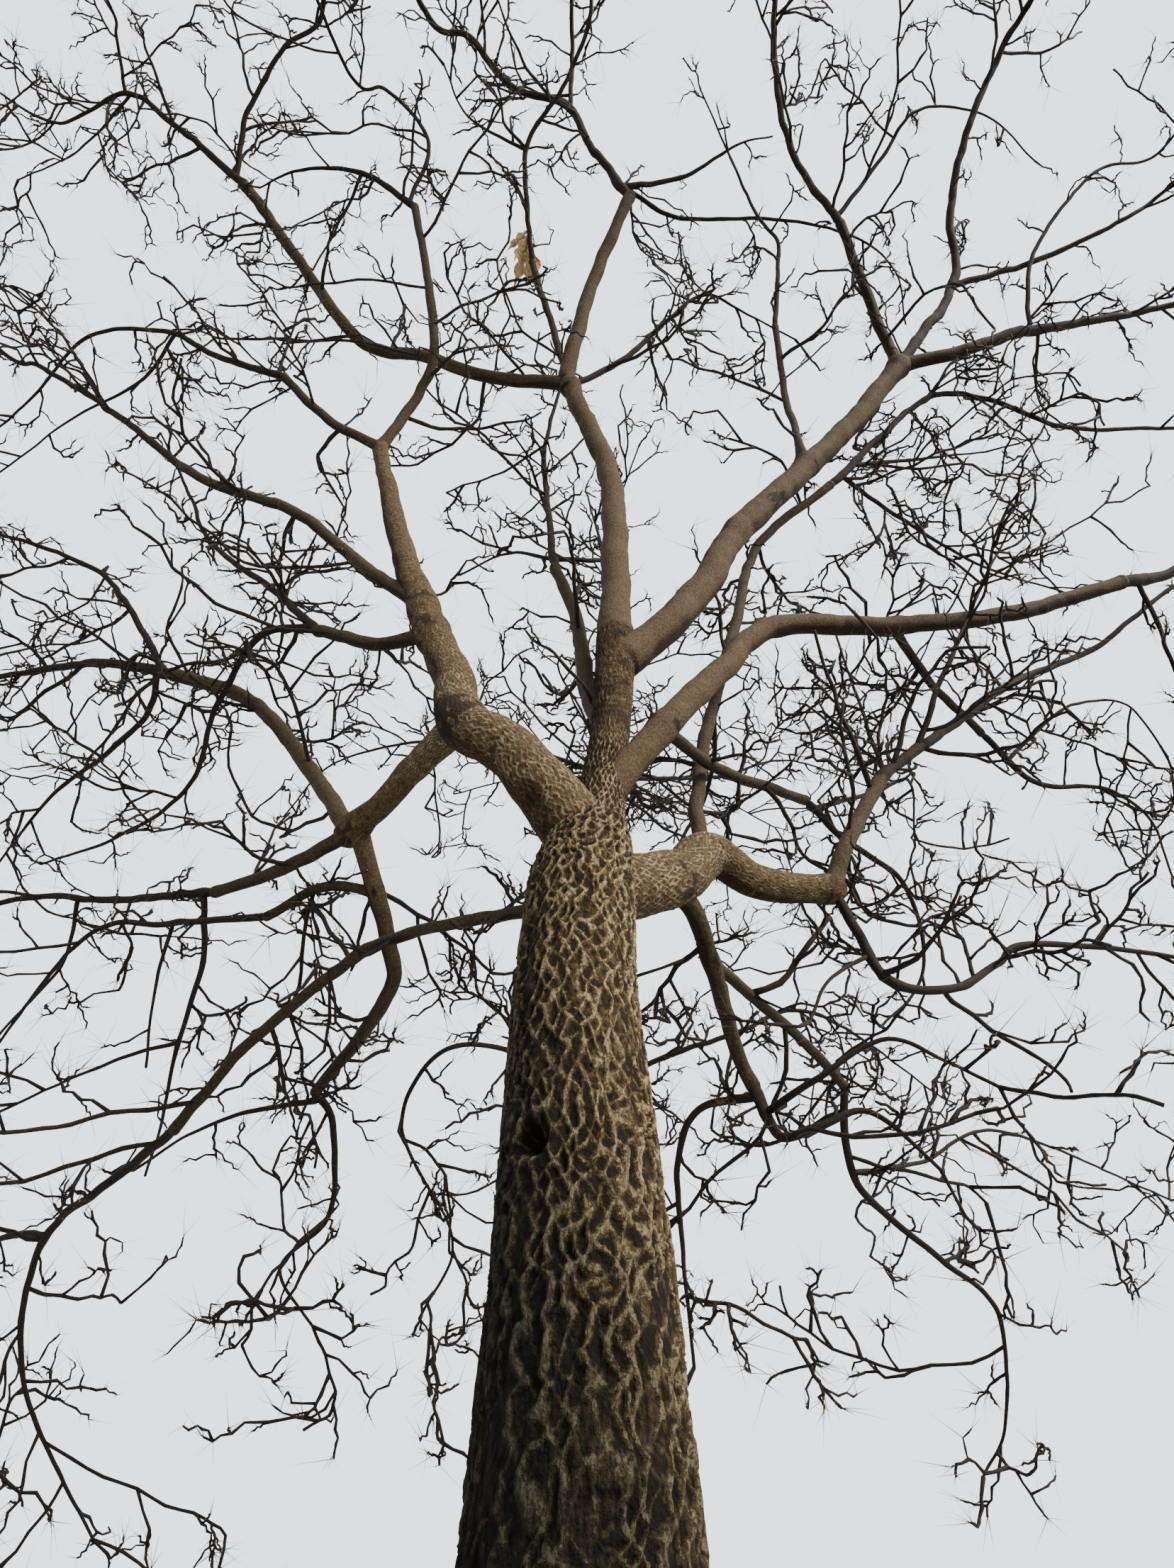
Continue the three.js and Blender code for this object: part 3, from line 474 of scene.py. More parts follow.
# The limbs: every bough and branch of the crown, living wood that has grown out of the trunk or out
# of another limb and bends at each old bud. The table gives name, what it grows from, the place
# there, foot and tip diameters in cm, and its legs as length in cm, bearing and rise in degrees. A
# bearing of 0 is away from the front and 90 to the right. The place on the trunk is a height in cm
# and on a limb it counts that limb's legs. A name with a slash is a branch inside a twig mass.
LIMBS = [
    ["left", "trunk", 460, 21, 7.4, [
        [50, 250, 53], [32, 280, 51], [41, 287, 78], [47, 269, 72], [79, 262, 74], [98, 241, 75]]],
    ["left_top", "left", 6, 6.2, 4.8, [[50, 132, 63], [42, 161, 57], [123, 202, 64]]],
    ["left_top/0", "left_top", 3, 4.6, 1.2, [[46, 246, 32], [46, 271, 19], [29, 291, 0]]],
    ["left_top/1", "left_top/0", 0.1, 3, 1, [
        [56, 163, 57], [56, 230, 46], [34, 257, 36], [108, 198, -28], [119, 231, -57], [102, 207, -77]]],
    ["left_top/2", "left_top/0", 1, 2.6, 0.8, [[27, 332, -33], [46, 326, -41]]],
    ["left_far", "left", 6, 5.6, 4.6, [[41, 259, 38], [48, 246, 46]]],
    ["left_far/0", "left_far", 2, 4.4, 1, [
        [55, 266, 33], [50, 261, 37], [53, 277, 11], [49, 311, -24], [63, 307, -29]]],
    ["left_far/1", "left_far/0", 1.8, 2.6, 0.8, [[35, 318, -26], [51, 295, -11], [54, 300, -34]]],
    ["left_far/2", "left_far/0", 0.1, 2.2, 0.8, [[90, 173, 74]]],
    ["left_mid", "left", 4.2, 6.8, 5, [[65, 274, 54], [69, 267, 53], [60, 270, 36], [37, 267, 42]]],
    ["left_mid/0", "left_mid", 4, 4.8, 1.4, [
        [84, 257, 45], [66, 257, 38], [38, 262, 31], [97, 223, 24]]],
    ["left_mid/1", "left_mid/0", 1, 2.8, 0.8, [[76, 239, 52], [60, 245, 42]]],
    ["left_in", "left", 3.8, 6.6, 5.6, [[30, 294, 22], [52, 290, 43]]],
    ["left_in/0", "left_in", 2, 4.4, 1.2, [
        [59, 276, 57], [72, 270, 50], [56, 251, 63], [69, 244, 60]]],
    ["left_in/1", "left_in/0", 0.1, 4, 1.2, [
        [33, 290, 17], [42, 324, -14], [43, 337, -44], [46, 303, -12], [47, 292, 0]]],
    ["left_low", "left", 2, 12, 9.8, [[39, 322, 15], [20, 322, 0], [23, 315, 0]]],
    ["left_out", "left_low", 3, 8, 7.2, [[68, 293, 63], [78, 273, 56], [71, 280, 39]]],
    ["left_out/0", "left_out", 3, 6.2, 1.4, [[67, 284, 32], [88, 289, 20], [110, 287, 16]]],
    ["left_out/1", "left_out/0", 0.1, 4.4, 1.2, [
        [63, 248, 55], [47, 255, 48], [78, 265, 27], [87, 276, 27]]],
    ["left_out/2", "left_out/0", 0.2, 4, 1.2, [
        [23, 350, -49], [35, 309, -25], [35, 300, -25], [46, 313, -50]]],
    ["left_down", "left_low", 3, 6.2, 5, [[37, 302, 0], [48, 305, 18]]],
    ["left_down/0", "left_down", 2, 4.2, 1.4, [[73, 293, 20], [78, 290, 19], [142, 294, 0]]],
    ["left_down/1", "left_down/0", 0.1, 3.2, 1, [
        [36, 16, -63], [33, 340, -49], [36, 345, -34], [25, 13, -86]]],
    ["left_down/2", "left_down/0", 1.3, 2.4, 0.8, [[32, 346, -47], [42, 307, -45]]],
    ["left_down/3", "left_down/1", 2, 2, 0.8, [[31, 283, -10], [54, 292, -11]]],
    ["left_hang", "left_low", 2.8, 7.8, 4.4, [
        [31, 35, -53], [22, 20, -44], [20, 358, -29], [71, 328, 0]]],
    ["left_hang/0", "left_hang", 4, 3.4, 1, [
        [16, 45, -40], [39, 357, -40], [29, 306, -31], [31, 81, -53]]],
    ["left_hang/1", "left_hang/0", 0.3, 2.8, 0.8, [[27, 278, -5], [30, 286, -10], [28, 284, -33]]],
    ["left_under", "left_hang", 1, 4.4, 3.8, [[26, 283, 22], [28, 297, -10]]],
    ["left_under/0", "left_under", 2, 3.4, 0.8, [[53, 291, 17], [53, 292, 10], [128, 320, -4]]],
    ["left_under/1", "left_under/0", 1, 2, 0.8, [[30, 346, -58], [32, 359, -52]]],
    ["back_left", "trunk", 430, 4.6, 4.4, [
        [102, 309, 26], [46, 310, 0], [39, 309, -14], [42, 316, -21]]],
    ["back_left/0", "back_left", 4, 4.2, 1.4, [
        [50, 312, -6], [35, 312, -8], [47, 340, -26], [44, 5, -26], [61, 22, -25]]],
    ["back_left/1", "back_left/0", 2, 3, 1, [[35, 301, 16], [138, 304, 8]]],
    ["right", "trunk", 435, 21.5, 9.6, [
        [44, 64, 35], [30, 57, 55], [21, 55, 1], [21, 64, 13], [16, 73, 19]]],
    ["right_out", "right", 5, 7, 6.2, [[27, 110, 67], [50, 90, 63]]],
    ["right_out/0", "right_out", 2, 5.2, 1.4, [
        [40, 83, 49], [89, 84, 47], [80, 83, 39], [97, 101, 38], [95, 96, 19]]],
    ["right_out/1", "right_out/0", 0.9, 3.2, 1, [[44, 137, 53], [79, 110, 62], [52, 110, 60]]],
    ["right_out/2", "right_out/0", 0.1, 2.6, 0.8, [[73, 18, 88], [50, 196, 85]]],
    ["right_low/0", "right", 5, 4.2, 1.2, [
        [23, 49, -60], [20, 52, -49], [27, 74, 10], [32, 72, 40], [30, 83, 29], [142, 71, 12]]],
    ["right_low/1", "right_low/0", 1.3, 2, 0.8, [[28, 251, -44], [22, 271, -64]]],
    ["right_long", "right", 1.8, 6, 4.8, [
        [39, 38, 87], [55, 70, 80], [98, 96, 77], [83, 101, 75], [68, 106, 47]]],
    ["right_long/0", "right_long", 5, 4.6, 1.6, [
        [112, 107, 49], [38, 91, 1], [52, 75, -17], [65, 85, 13], [102, 87, 9]]],
    ["right_long/1", "right_long/0", 0.2, 3, 1, [[60, 81, 32], [49, 86, 24]]],
    ["right_long/2", "right_long/0", 0.1, 3, 1, [[45, 57, -5], [58, 60, 0], [68, 70, 4]]],
    ["right_long/3", "right_long/0", 1, 2.4, 0.8, [[45, 109, 52], [40, 97, 30]]],
    ["right_hang", "right", 0.9, 7, 5, [[18, 36, -9], [30, 17, -9], [30, 17, -20], [12, 38, -54]]],
    ["right_hang/0", "right_hang", 4, 4.4, 1, [
        [26, 131, -74], [14, 111, -1], [20, 91, 15], [28, 81, -47]]],
    ["right_hang/1", "right_hang/0", 0.2, 3.4, 1, [
        [26, 305, 11], [21, 333, -45], [25, 2, -37], [43, 10, -68]]],
    ["right_hang/2", "right_hang/0", 0.5, 3, 0.8, [
        [24, 141, -3], [28, 112, 21], [21, 90, -28], [19, 85, -32]]],
    ["back_right", "right_hang", 1.7, 4.4, 3.8, [[57, 35, 13], [53, 35, 6]]],
    ["back_right/0", "back_right", 2, 3.6, 1.2, [
        [39, 9, -41], [47, 50, -19], [41, 46, -14], [51, 6, -29], [22, 317, -43]]],
    ["back_right/1", "back_right/0", 0.9, 2.2, 0.8, [[58, 52, 29], [69, 64, 31], [173, 49, 13]]],
    ["mid_right", "trunk", 485, 11.8, 7.2, [
        [52, 97, 59], [51, 79, 62], [59, 79, 59], [71, 76, 25], [80, 81, 26], [82, 88, 29]]],
    ["mid_right/0", "mid_right", 6, 6.6, 1.6, [[42, 86, 28], [76, 102, 32], [100, 81, 24]]],
    ["mid_right/1", "mid_right/0", 0.3, 3, 1, [[32, 27, -51], [22, 352, -71], [98, 34, -18]]],
    ["droop_right", "mid_right", 4, 4.8, 3.8, [[45, 37, 6], [42, 46, 0]]],
    ["droop_right/0", "droop_right", 2, 3.6, 1, [
        [41, 52, -14], [46, 75, 13], [28, 61, -21], [34, 16, -63]]],
    ["droop_right/1", "droop_right/0", 0.5, 2.6, 0.8, [[65, 93, 46], [48, 77, 24], [38, 46, -32]]],
    ["in_right", "mid_right", 0.9, 5, 4.2, [[33, 42, 17], [37, 49, 24], [32, 49, 28]]],
    ["in_right/0", "in_right", 3, 3.6, 1, [
        [31, 42, 0], [31, 56, -9], [29, 28, -43], [24, 333, -58], [27, 278, -47]]],
    ["in_right/1", "in_right/0", 0.2, 2.6, 0.8, [[65, 59, 44], [42, 58, 45], [88, 18, 27]]],
    ["right_high", "trunk", 575, 15, 11.4, [
        [48, 89, 57], [44, 90, 65], [48, 101, 68], [77, 98, 58], [60, 99, 57], [89, 108, 57]]],
    ["right_top", "right_high", 6, 7.6, 6.2, [[43, 203, 69], [86, 202, 54]]],
    ["right_top/0", "right_top", 2, 5.4, 1.4, [
        [53, 221, 49], [45, 202, 42], [74, 184, 33], [110, 174, -5], [114, 173, -38], [114, 202, -62]]],
    ["right_top/1", "right_top/0", 0.1, 3.4, 1, [
        [55, 131, 41], [51, 133, 36], [51, 84, 12], [45, 54, -13]]],
    ["right_top/2", "right_top/0", 2.8, 2.4, 0.8, [[113, 147, 3], [117, 139, -37], [110, 154, -66]]],
    ["right_mid/0", "right_high", 6, 7, 1.4, [
        [97, 121, 55], [62, 171, 55], [62, 164, 40], [82, 151, 29], [128, 161, -28], [124, 149, -62]]],
    ["right_mid/1", "right_mid/0", 1, 4.6, 1.2, [
        [60, 100, 20], [72, 110, 16], [40, 118, 22], [99, 136, -14]]],
    ["right_far", "right_high", 6, 8.4, 7, [[43, 97, 20], [52, 97, 29]]],
    ["right_far/0", "right_far", 2, 6.6, 1.4, [[61, 92, 19], [55, 96, 16], [104, 102, 3]]],
    ["right_far/1", "right_far/0", 0.1, 3.4, 1, [
        [68, 159, 58], [88, 128, 43], [61, 106, 20], [115, 161, 0]]],
    ["right_far/2", "right_far/0", 0.2, 2.6, 0.8, [[41, 4, -27], [24, 45, -12]]],
    ["over_right", "right_high", 4.2, 4.6, 4, [[86, 189, 80], [59, 180, 68]]],
    ["over_right/0", "over_right", 2, 3.6, 1, [
        [50, 166, 64], [29, 173, 61], [37, 221, 54], [101, 208, 48]]],
    ["leader", "trunk", 593, 14, 7.2, [
        [67, 163, 87], [55, 177, 85], [56, 217, 83], [82, 239, 75], [32, 193, 73],
        [88, 153, 66], [74, 148, 54]]],
    ["leader/0", "leader", 7, 6, 1.2, [
        [54, 227, 47], [31, 213, 40], [48, 254, 25], [44, 227, 27], [35, 247, 17],
        [100, 197, -24], [114, 189, -52], [116, 147, -71]]],
    ["leader/1", "leader/0", 0.2, 4.4, 1, [[45, 96, 15], [46, 114, 25], [26, 98, 23]]],
    ["leader/2", "leader/0", 0.3, 3.6, 1, [
        [47, 62, 3], [67, 88, 4], [55, 81, -10], [39, 59, -32], [42, 12, -45]]],
    ["leader/3", "leader/0", 2, 3.4, 1.2, [
        [78, 179, 40], [110, 180, -3], [116, 169, -28], [118, 198, -58]]],
    ["leader/4", "leader/3", 1.9, 2.4, 0.8, [[108, 119, -54], [118, 159, -69], [112, 242, -78]]],
    ["thin_top", "leader", 4.1, 4.8, 4, [[61, 210, 66], [58, 208, 59]]],
    ["thin_top/0", "thin_top", 2, 3.6, 1.2, [
        [79, 184, 44], [51, 145, 30], [56, 158, 33], [96, 182, -25], [105, 220, -42], [105, 198, -72]]],
    ["thin_top/1", "thin_top/0", 1, 2.6, 0.8, [[47, 246, 26], [32, 206, 9]]],
    ["cross_top", "leader", 4.2, 4, 3.4, [[46, 101, 44], [44, 115, 52]]],
    ["cross_top/0", "cross_top", 2, 3, 0.8, [[43, 111, 46], [31, 71, -10], [36, 66, -16]]],
    ["high_left", "leader", 4.3, 8.2, 7, [
        [59, 275, 30], [50, 263, 30], [51, 265, 29], [99, 231, 45], [60, 228, 42]]],
    ["high_left/0", "high_left", 5, 5.6, 1.2, [
        [64, 237, 28], [47, 245, 25], [51, 289, -23], [53, 229, -35]]],
    ["high_left/1", "high_left/0", 0.1, 4.2, 1.2, [
        [46, 171, 44], [53, 146, 28], [44, 134, 27], [114, 184, -15], [111, 201, -39], [118, 165, -70]]],
    ["high_left/2", "high_left/0", 2, 2.6, 0.8, [[34, 183, 17], [22, 185, 0], [103, 201, -23]]],
    ["high_left/3", "high_left/0", 1.9, 2.4, 0.8, [[55, 312, -32], [46, 291, -27]]],
    ["pale_mid", "trunk", 520, 8.4, 5.6, [[57, 323, 76], [75, 327, 83], [61, 274, 79]]],
    ["pale_mid/0", "pale_mid", 3, 4.4, 1.2, [
        [101, 245, 85], [51, 186, 80], [73, 149, 73], [75, 33, 69]]],
    ["pale_mid/1", "pale_mid/0", 0.1, 2.6, 0.8, [[40, 292, 48], [31, 295, 1]]],
    ["pale_mid/2", "pale_mid/0", 0.1, 3, 0.8, [[25, 77, 24], [21, 40, 73], [90, 298, 84]]],
    ["low_back", "trunk", 420, 9.2, 6.2, [[90, 6, 34], [89, 350, 30], [77, 11, 23]]],
    ["low_back/0", "low_back", 3, 5.6, 1.2, [[93, 353, 29], [82, 10, 7], [73, 352, -16]]],
    ["low_back/1", "low_back/0", 0.1, 3.4, 0.8, [
        [103, 220, -23], [44, 315, -34], [55, 29, -32], [34, 326, -49]]],
    ["low_back/2", "low_back/0", 0.2, 3.4, 0.8, [[75, 101, 16], [69, 68, 31], [134, 44, 8]]],
    ["high_back", "trunk", 505, 8.8, 6.2, [[96, 4, 47], [106, 356, 58], [104, 12, 54]]],
    ["high_back/0", "high_back", 3, 5.6, 1.2, [[87, 348, 54], [97, 22, 56], [64, 348, 39]]],
    ["high_back/1", "high_back/0", 0.1, 3.4, 0.8, [
        [73, 262, 19], [69, 286, 26], [79, 295, 14], [72, 320, 8]]],
    ["high_back/2", "high_back/0", 0.3, 3.4, 0.8, [[96, 65, 32], [80, 71, 38], [83, 61, 14]]],
    ["high_back/3", "high_back/0", 1, 3, 0.8, [[103, 161, 52], [95, 192, 57], [73, 158, 43]]],
    ["high_back/4", "high_back/0", 1.9, 2.8, 0.8, [[94, 293, 23], [70, 297, 16]]],
    ["high_back/5", "high_back/0", 1.7, 2.8, 0.8, [[99, 50, 31], [86, 55, 7]]],
]


# What the limbs have besides: painted shade on the side of each that faces left, back and down, away from the
# lamp, broken into long damp streaks. Some are darkened more than that all over, and the lowest at the left
# less. Two show an old wound where bark has come off, at a place counted in the limb's legs and on the side
# that the three numbers face.
AWAY_FROM_LAMP = np.array([-0.62, 0.55, -0.56])
EXTRA_DARKENING = {
    "right_high": 1.3, "right_far": 1.5, "right_top": 1.2, "mid_right": 1.2, "left": 0.45,
    "right": 0.25, "left_low": -0.9,
}
WOUNDS = {"left": (1.9, [-0.75, -0.5, -0.45]), "right_high": (3.5, [0.3, -0.3, -0.6])}
THINNEST = 0.0064
FORK_SWELL = 0.12
TIP_RINGS = np.radians([30, 58, 80])


def smooth_line(nodes, places):
    """Points of a uniform Catmull-Rom curve through the nodes, at places counted in its legs, with
    the end legs carried on straight beyond the first and last node."""
    padded = np.vstack([2 * nodes[0] - nodes[1], nodes, 2 * nodes[-1] - nodes[-2]])
    leg = np.clip(np.floor(places).astype(int), 0, len(nodes) - 2)
    t = (places - leg)[:, None]
    a, b, c, d = (padded[leg + k] for k in range(4))
    start, end = (c - a) / 2, (d - b) / 2
    return (2 * b - 2 * c + start + end) * t**3 + (3 * c - 3 * b - 2 * start - end) * t**2 + start * t + b


def read_off(line, marks, places):
    """The points of a line, whose own points lie at the marks, at other places between them."""
    return np.stack([np.interp(places, marks, line[:, k]) for k in range(3)], axis=-1)


def leg_steps(legs):
    """Each leg as a step in metres from its length, bearing and rise."""
    length, bearing, rise = np.array(legs, float).T
    length, bearing, rise = length / 100, np.radians(bearing), np.radians(rise)
    flat = length * np.cos(rise)
    return np.stack([flat * np.sin(bearing), flat * np.cos(bearing), length * np.sin(rise)], axis=-1)


def limb_radius(run, foot, tip, swell, knuckles):
    """Radius along a limb: a straight taper, swollen at the foot but narrow where it is rooted and
    nowhere under 6.4 mm. A knuckle is its distance along the limb, its size and its height as a share
    of the radius, and swells the limb by a rounded hump."""
    plain = foot + (tip - foot) * run / run[-1]
    radius = plain * (1 + swell * np.exp(-run / (1.6 * foot)))
    for at, size, height in knuckles:
        radius = radius + plain * height * hump((run - at) / size)
    return np.maximum(radius * (1 - 0.4 * hump(run / (0.5 * foot))), THINNEST)


def ring_spacing(foot):
    """Distance between a limb's rings: 1 cm on the thickest limbs, 1.8 cm on boughs, else 3 cm."""
    return 0.0095 if foot > 0.055 else (0.018 if foot > 0.022 else 0.028)


def lay_out_limbs():
    """Every limb's line, radius and marks. The line follows the smooth curve through its legs and
    wavers round it by at most 1.1 cm on a bough and 1.8 cm on a branch, as wood does that has healed
    over old buds. It has a knuckle where another limb leaves it and one at every knot between."""
    children = {}
    for name, parent, place, foot, tip, legs in LIMBS:
        children.setdefault(parent, []).append((place, foot / 200))
    laid = {}
    for number, (name, parent, place, foot, tip, legs) in enumerate(LIMBS):
        rng = np.random.default_rng(400 + number)
        is_branch = "/" in name
        if parent == "trunk":
            start = np.array([*trunk_profile(place / 100)[1:], place / 100])
        else:
            older = laid[parent]
            start = read_off(older["line"], np.linspace(0, older["legs"], len(older["line"])), place)
        nodes = np.vstack([start, start + np.cumsum(leg_steps(legs), axis=0)])
        length = sum(leg[0] for leg in legs) / 100
        places = np.linspace(0, len(legs), int(np.ceil(length / ring_spacing(foot / 200))) + 1)
        line = smooth_line(nodes, places)
        run = np.concatenate([[0], np.cumsum(np.linalg.norm(np.diff(line, axis=0), axis=1))])
        along = np.stack([run, 0 * run, 0 * run], axis=-1)
        waver = [soft_noise(along + 7 * k, 0.16, number) - 0.5 for k in range(3)]
        waver += [0.5 * (soft_noise(along + 7 * k, 0.07, number + 200) - 0.5) for k in range(3)]
        waver = np.stack(waver, axis=-1).reshape(-1, 2, 3).sum(axis=1)
        plain = (foot + (tip - foot) * run / run[-1]) / 200
        amount = np.minimum(0.45 * plain + 0.005, 0.018 if is_branch else 0.011) * smooth(run / 0.12)
        knuckles = []
        for at, size in children.get(name, []):
            knuckles.append((np.interp(at, places, run), 2.0 * size + 0.012, FORK_SWELL))
        knots = np.cumsum(0.16 + 0.3 * rng.random(40))
        for at in knots[knots < run[-1]]:
            height = (0.05 + 0.09 * rng.random()) * (1 if is_branch else 0.5)
            knuckles.append((at, 0.8 * foot / 200 + 0.006, height))
        swell = 0.0 if name.endswith("/0") else (0.2 if is_branch else 0.32)
        laid[name] = {
            "line": line + waver * amount[:, None], "run": run, "legs": len(legs), "number": number,
            "foot": foot / 200, "radius": limb_radius(run, foot / 200, tip / 200, swell, knuckles),
            "knuckles": knuckles, "mass": name.split("/")[0] if is_branch else None,
            "extra_darkening": EXTRA_DARKENING.get(name, 0), "wound": None,
        }
        if name in WOUNDS:
            laid[name]["wound"] = np.interp(WOUNDS[name][0], places, run), np.array(WOUNDS[name][1])
    return laid


def line_frames(lines):
    """Two directions square to each line at each of its points, carried along it without a twist."""
    along = unit(np.gradient(lines, axis=1))
    steep = np.abs(along[:, 0, 2:]) > 0.9
    across = np.cross(np.where(steep, [[1.0, 0, 0]], [[0, 0, 1.0]]), along[:, 0])
    carried = []
    for k in range(lines.shape[1]):
        across = unit(across - (across * along[:, k]).sum(-1, keepdims=True) * along[:, k])
        carried.append(across)
    across = np.stack(carried, axis=1)
    return across, np.cross(along, across)


def repeated(triangles, corners, many):
    """The same triangles for many like solids, renumbered by the count of corners of each."""
    offset = np.arange(many)[:, None, None] * corners
    return (np.array(triangles)[None] + offset).reshape(-1, 3)


def tubes(lines, radii, sides):
    """Closed tubes round many lines at once: a ring of that radius square to each line at each of its
    points, walls between the rings, and a pole at either end."""
    many, rings = lines.shape[:2]
    across, over = line_frames(lines)
    radii = radii if radii.ndim == 3 else radii[..., None]
    angle = np.arange(sides) * 2 * np.pi / sides
    spoke = across[:, :, None] * np.cos(angle)[:, None] + over[:, :, None] * np.sin(angle)[:, None]
    walls = lines[:, :, None] + spoke * radii[..., None]
    poles = np.stack([lines[:, 0], lines[:, -1]], axis=1)
    vertices = np.concatenate([walls.reshape(many, -1, 3), poles], axis=1)
    return vertices.reshape(-1, 3), repeated(closed_grid(rings, sides), vertices.shape[1], many)


def limb_surface(name, sides, depth=0, fade=1, cell_length=1):
    """One limb's bark: a tube round its line, closed by three rings like half a ball at the tip. Broad lumps,
    fine ring wrinkles and a net of ridges of that depth, which fades away along the limb, are pushed out of
    it. The side turned away from the lamp is given painted shade, broken into long damp streaks, and a wound
    is stained with a torn edge."""
    limb = limbs[name]
    heading = unit(limb["line"][-1] - limb["line"][-2])
    tip = limb["radius"][-1]
    line = np.vstack([limb["line"], limb["line"][-1] + np.outer(np.sin(TIP_RINGS) * tip, heading)])
    radius = np.concatenate([limb["radius"], tip * np.cos(TIP_RINGS)])[:, None]
    run = np.concatenate([limb["run"], np.repeat(limb["run"][-1], len(TIP_RINGS))])[:, None]
    angle = np.arange(sides) * 2 * np.pi / sides
    near = np.maximum(radius, 0.3 * radius.max())
    place = round_upright(near, angle, run) + limb["number"] * 3.7
    seed, foot = 60 + limb["number"] % 7, limb["foot"]
    lumps = soft_noise(place, 0.06 + 1.2 * foot, seed) - 0.5
    lumps += 0.5 * (soft_noise(place, 0.03 + 0.3 * foot, seed + 1) - 0.5)
    relief = 0.085 * near * lumps
    knuckle = np.zeros(run.shape)
    for at, size, height in limb["knuckles"]:
        knuckle += (0.9 if height == FORK_SWELL else 0.3) * hump((run - at) / (0.6 * size))
    knuckle = np.clip(knuckle + np.exp(-run / (0.9 * foot)), 0, 1)
    wrinkles = np.sin(2 * np.pi * run / 0.02 + 7 * soft_noise(place, 0.05, seed + 2))
    relief += 0.014 * near * wrinkles * knuckle
    turns = angle / (2 * np.pi) + 0 * lumps
    if depth > 0:
        warp = [1.7 * (soft_noise(place, (0.07, 0.07, 0.11), seed + k) - 0.5) for k in (3, 4)]
        warp = [part + 0.7 * soft_noise(place, 0.02, seed + 5 + k) for k, part in enumerate(warp)]
        rows = run / cell_length + 0 * turns
        lines, strengths, net = braided_ridges(turns, rows, FURROWS_ROUND_BOUGH, warp, seed + 8)
        left = (1 - smooth(run / fade - 0.25)) * (0.45 + 0.6 * soft_noise(place, 0.13, seed + 7))
        strengths = [strength * left for strength in strengths]
        plates = soft_noise(place, (0.012, 0.012, 0.02), seed + 9)
        relief += depth * left * (net - 0.4 + 0.35 * plates)
    shrink = np.concatenate([np.ones(len(limb["line"])), np.cos(TIP_RINGS)])[:, None]
    vertices, triangles = tubes(line[None], (radius + relief * shrink)[None], sides)
    values = {}
    if depth > 0:
        values = braid_values(triangles, turns, lines, strengths, FURROWS_ROUND_BOUGH)

    outward = unit(vertices[:-2].reshape(len(line), sides, 3) - line[:, None])
    streaks = soft_noise(place, (0.02 + 0.25 * foot, 0.02 + 0.25 * foot, 0.22), seed + 11)
    # Painted shade: highest on the side turned away from the lamp, and raised on the limbs given extra
    # darkening all over.
    facing = 1.5 * (outward @ AWAY_FROM_LAMP) - 0.55 + limb["extra_darkening"]
    stain = knuckle * smooth(3.2 * soft_noise(place, 0.014 + 0.25 * foot, seed + 10) - 1.45)
    if limb["wound"]:
        at, side = limb["wound"]
        near_wound = hump((run - at) / (0.95 * foot))
        torn = soft_noise(place, (0.022, 0.022, 0.05), seed + 12)
        stain = np.maximum(stain, smooth(1.9 * near_wound + outward @ side + 3.2 * torn - 3.2))
    # Painted shade on the side away from the lamp, broken into long damp streaks.
    values["damp_and_painted_shade"] = capped(smooth(facing + 1.1 * (streaks - 0.5)))
    values["stain"] = capped(stain)
    values["thin"] = capped(1 - smooth((radius - 0.006) / 0.05) + 0 * lumps)
    return vertices, triangles, values


def joined_surfaces(parts):
    """Several surfaces as one: their vertices and values in a row, their triangles renumbered."""
    starts = np.cumsum([0] + [len(vertices) for vertices, _, _ in parts[:-1]])
    vertices = np.vstack([part[0] for part in parts])
    triangles = np.vstack([part[1] + start for part, start in zip(parts, starts)])
    values = {title: np.concatenate([part[2][title] for part in parts]) for title in parts[0][2]}
    return vertices, triangles, values


def weathered_and_shaded(tree, skin, fibre, dirt):
    """A limb's colour with dirt over it where the stored stain and the fibres are high, and much darker where
    the stored painted shade with its damp streaks and the fibres are high."""
    skin = layered(tree, skin, (sum_of(tree, reading(tree, "stain"), fibre, 0.7), 0.55, 1.1, dirt))
    # Painted shade with its damp streaks: the skin is multiplied by a dark brown where the stored value is
    # high.
    wet_and_shaded = spread(tree, sum_of(tree, reading(tree, "damp_and_painted_shade"), fibre, 0.6), 0.3, 1.05)
    return darkened(tree, wet_and_shaded, skin, (0.36, 0.28, 0.21))


limbs = lay_out_limbs()


# The netted boughs: the three thickest limbs next to the trunk. Their grey-tan bark is a fine net of
# low pale ridges like the trunk's, which dies out along the limb, and is dark and wrinkled at forks.
NETTED = ["left", "right", "left_low"]
FURROWS_ROUND_BOUGH = 30
netted_bark, tree, colour, grain = bark_material("netted bark", 70.0, 0.005, 0.88)
fleck, fibre = grain.outputs["Fleck"], grain.outputs["Fibre"]
braid = node(tree, "ShaderNodeGroup", node_tree=bark_braid_group, Fray=0.8, Cells=FURROWS_ROUND_BOUGH).outputs
tree.links.new(braid["Ridge"], grain.inputs["Height"])
skin = layered(
    tree, (0.014, 0.0085, 0.0036), (fleck, 0.35, 0.66, (0.04, 0.0265, 0.012)),
    (sum_of(tree, braid["Halo"], fibre, 1.3), 0.8, 1.8, (0.05, 0.0345, 0.0165)),
    (sum_of(tree, braid["Ridge"], fibre, 1.5), 0.95, 1.7, (0.092, 0.071, 0.041)),
)
tree.links.new(weathered_and_shaded(tree, skin, fibre, (0.012, 0.0075, 0.004)), colour)
surface = joined_surfaces([
    limb_surface("left", 120, depth=0.003, fade=1.9, cell_length=0.048),
    limb_surface("right", 120, depth=0.003, fade=1.5, cell_length=0.044),
    limb_surface("left_low", 72, depth=0.0015, fade=0.6, cell_length=0.045),
])
joined_mesh("netted_boughs", *surface, netted_bark, "netted_bark", ["bough_" + name for name in NETTED])


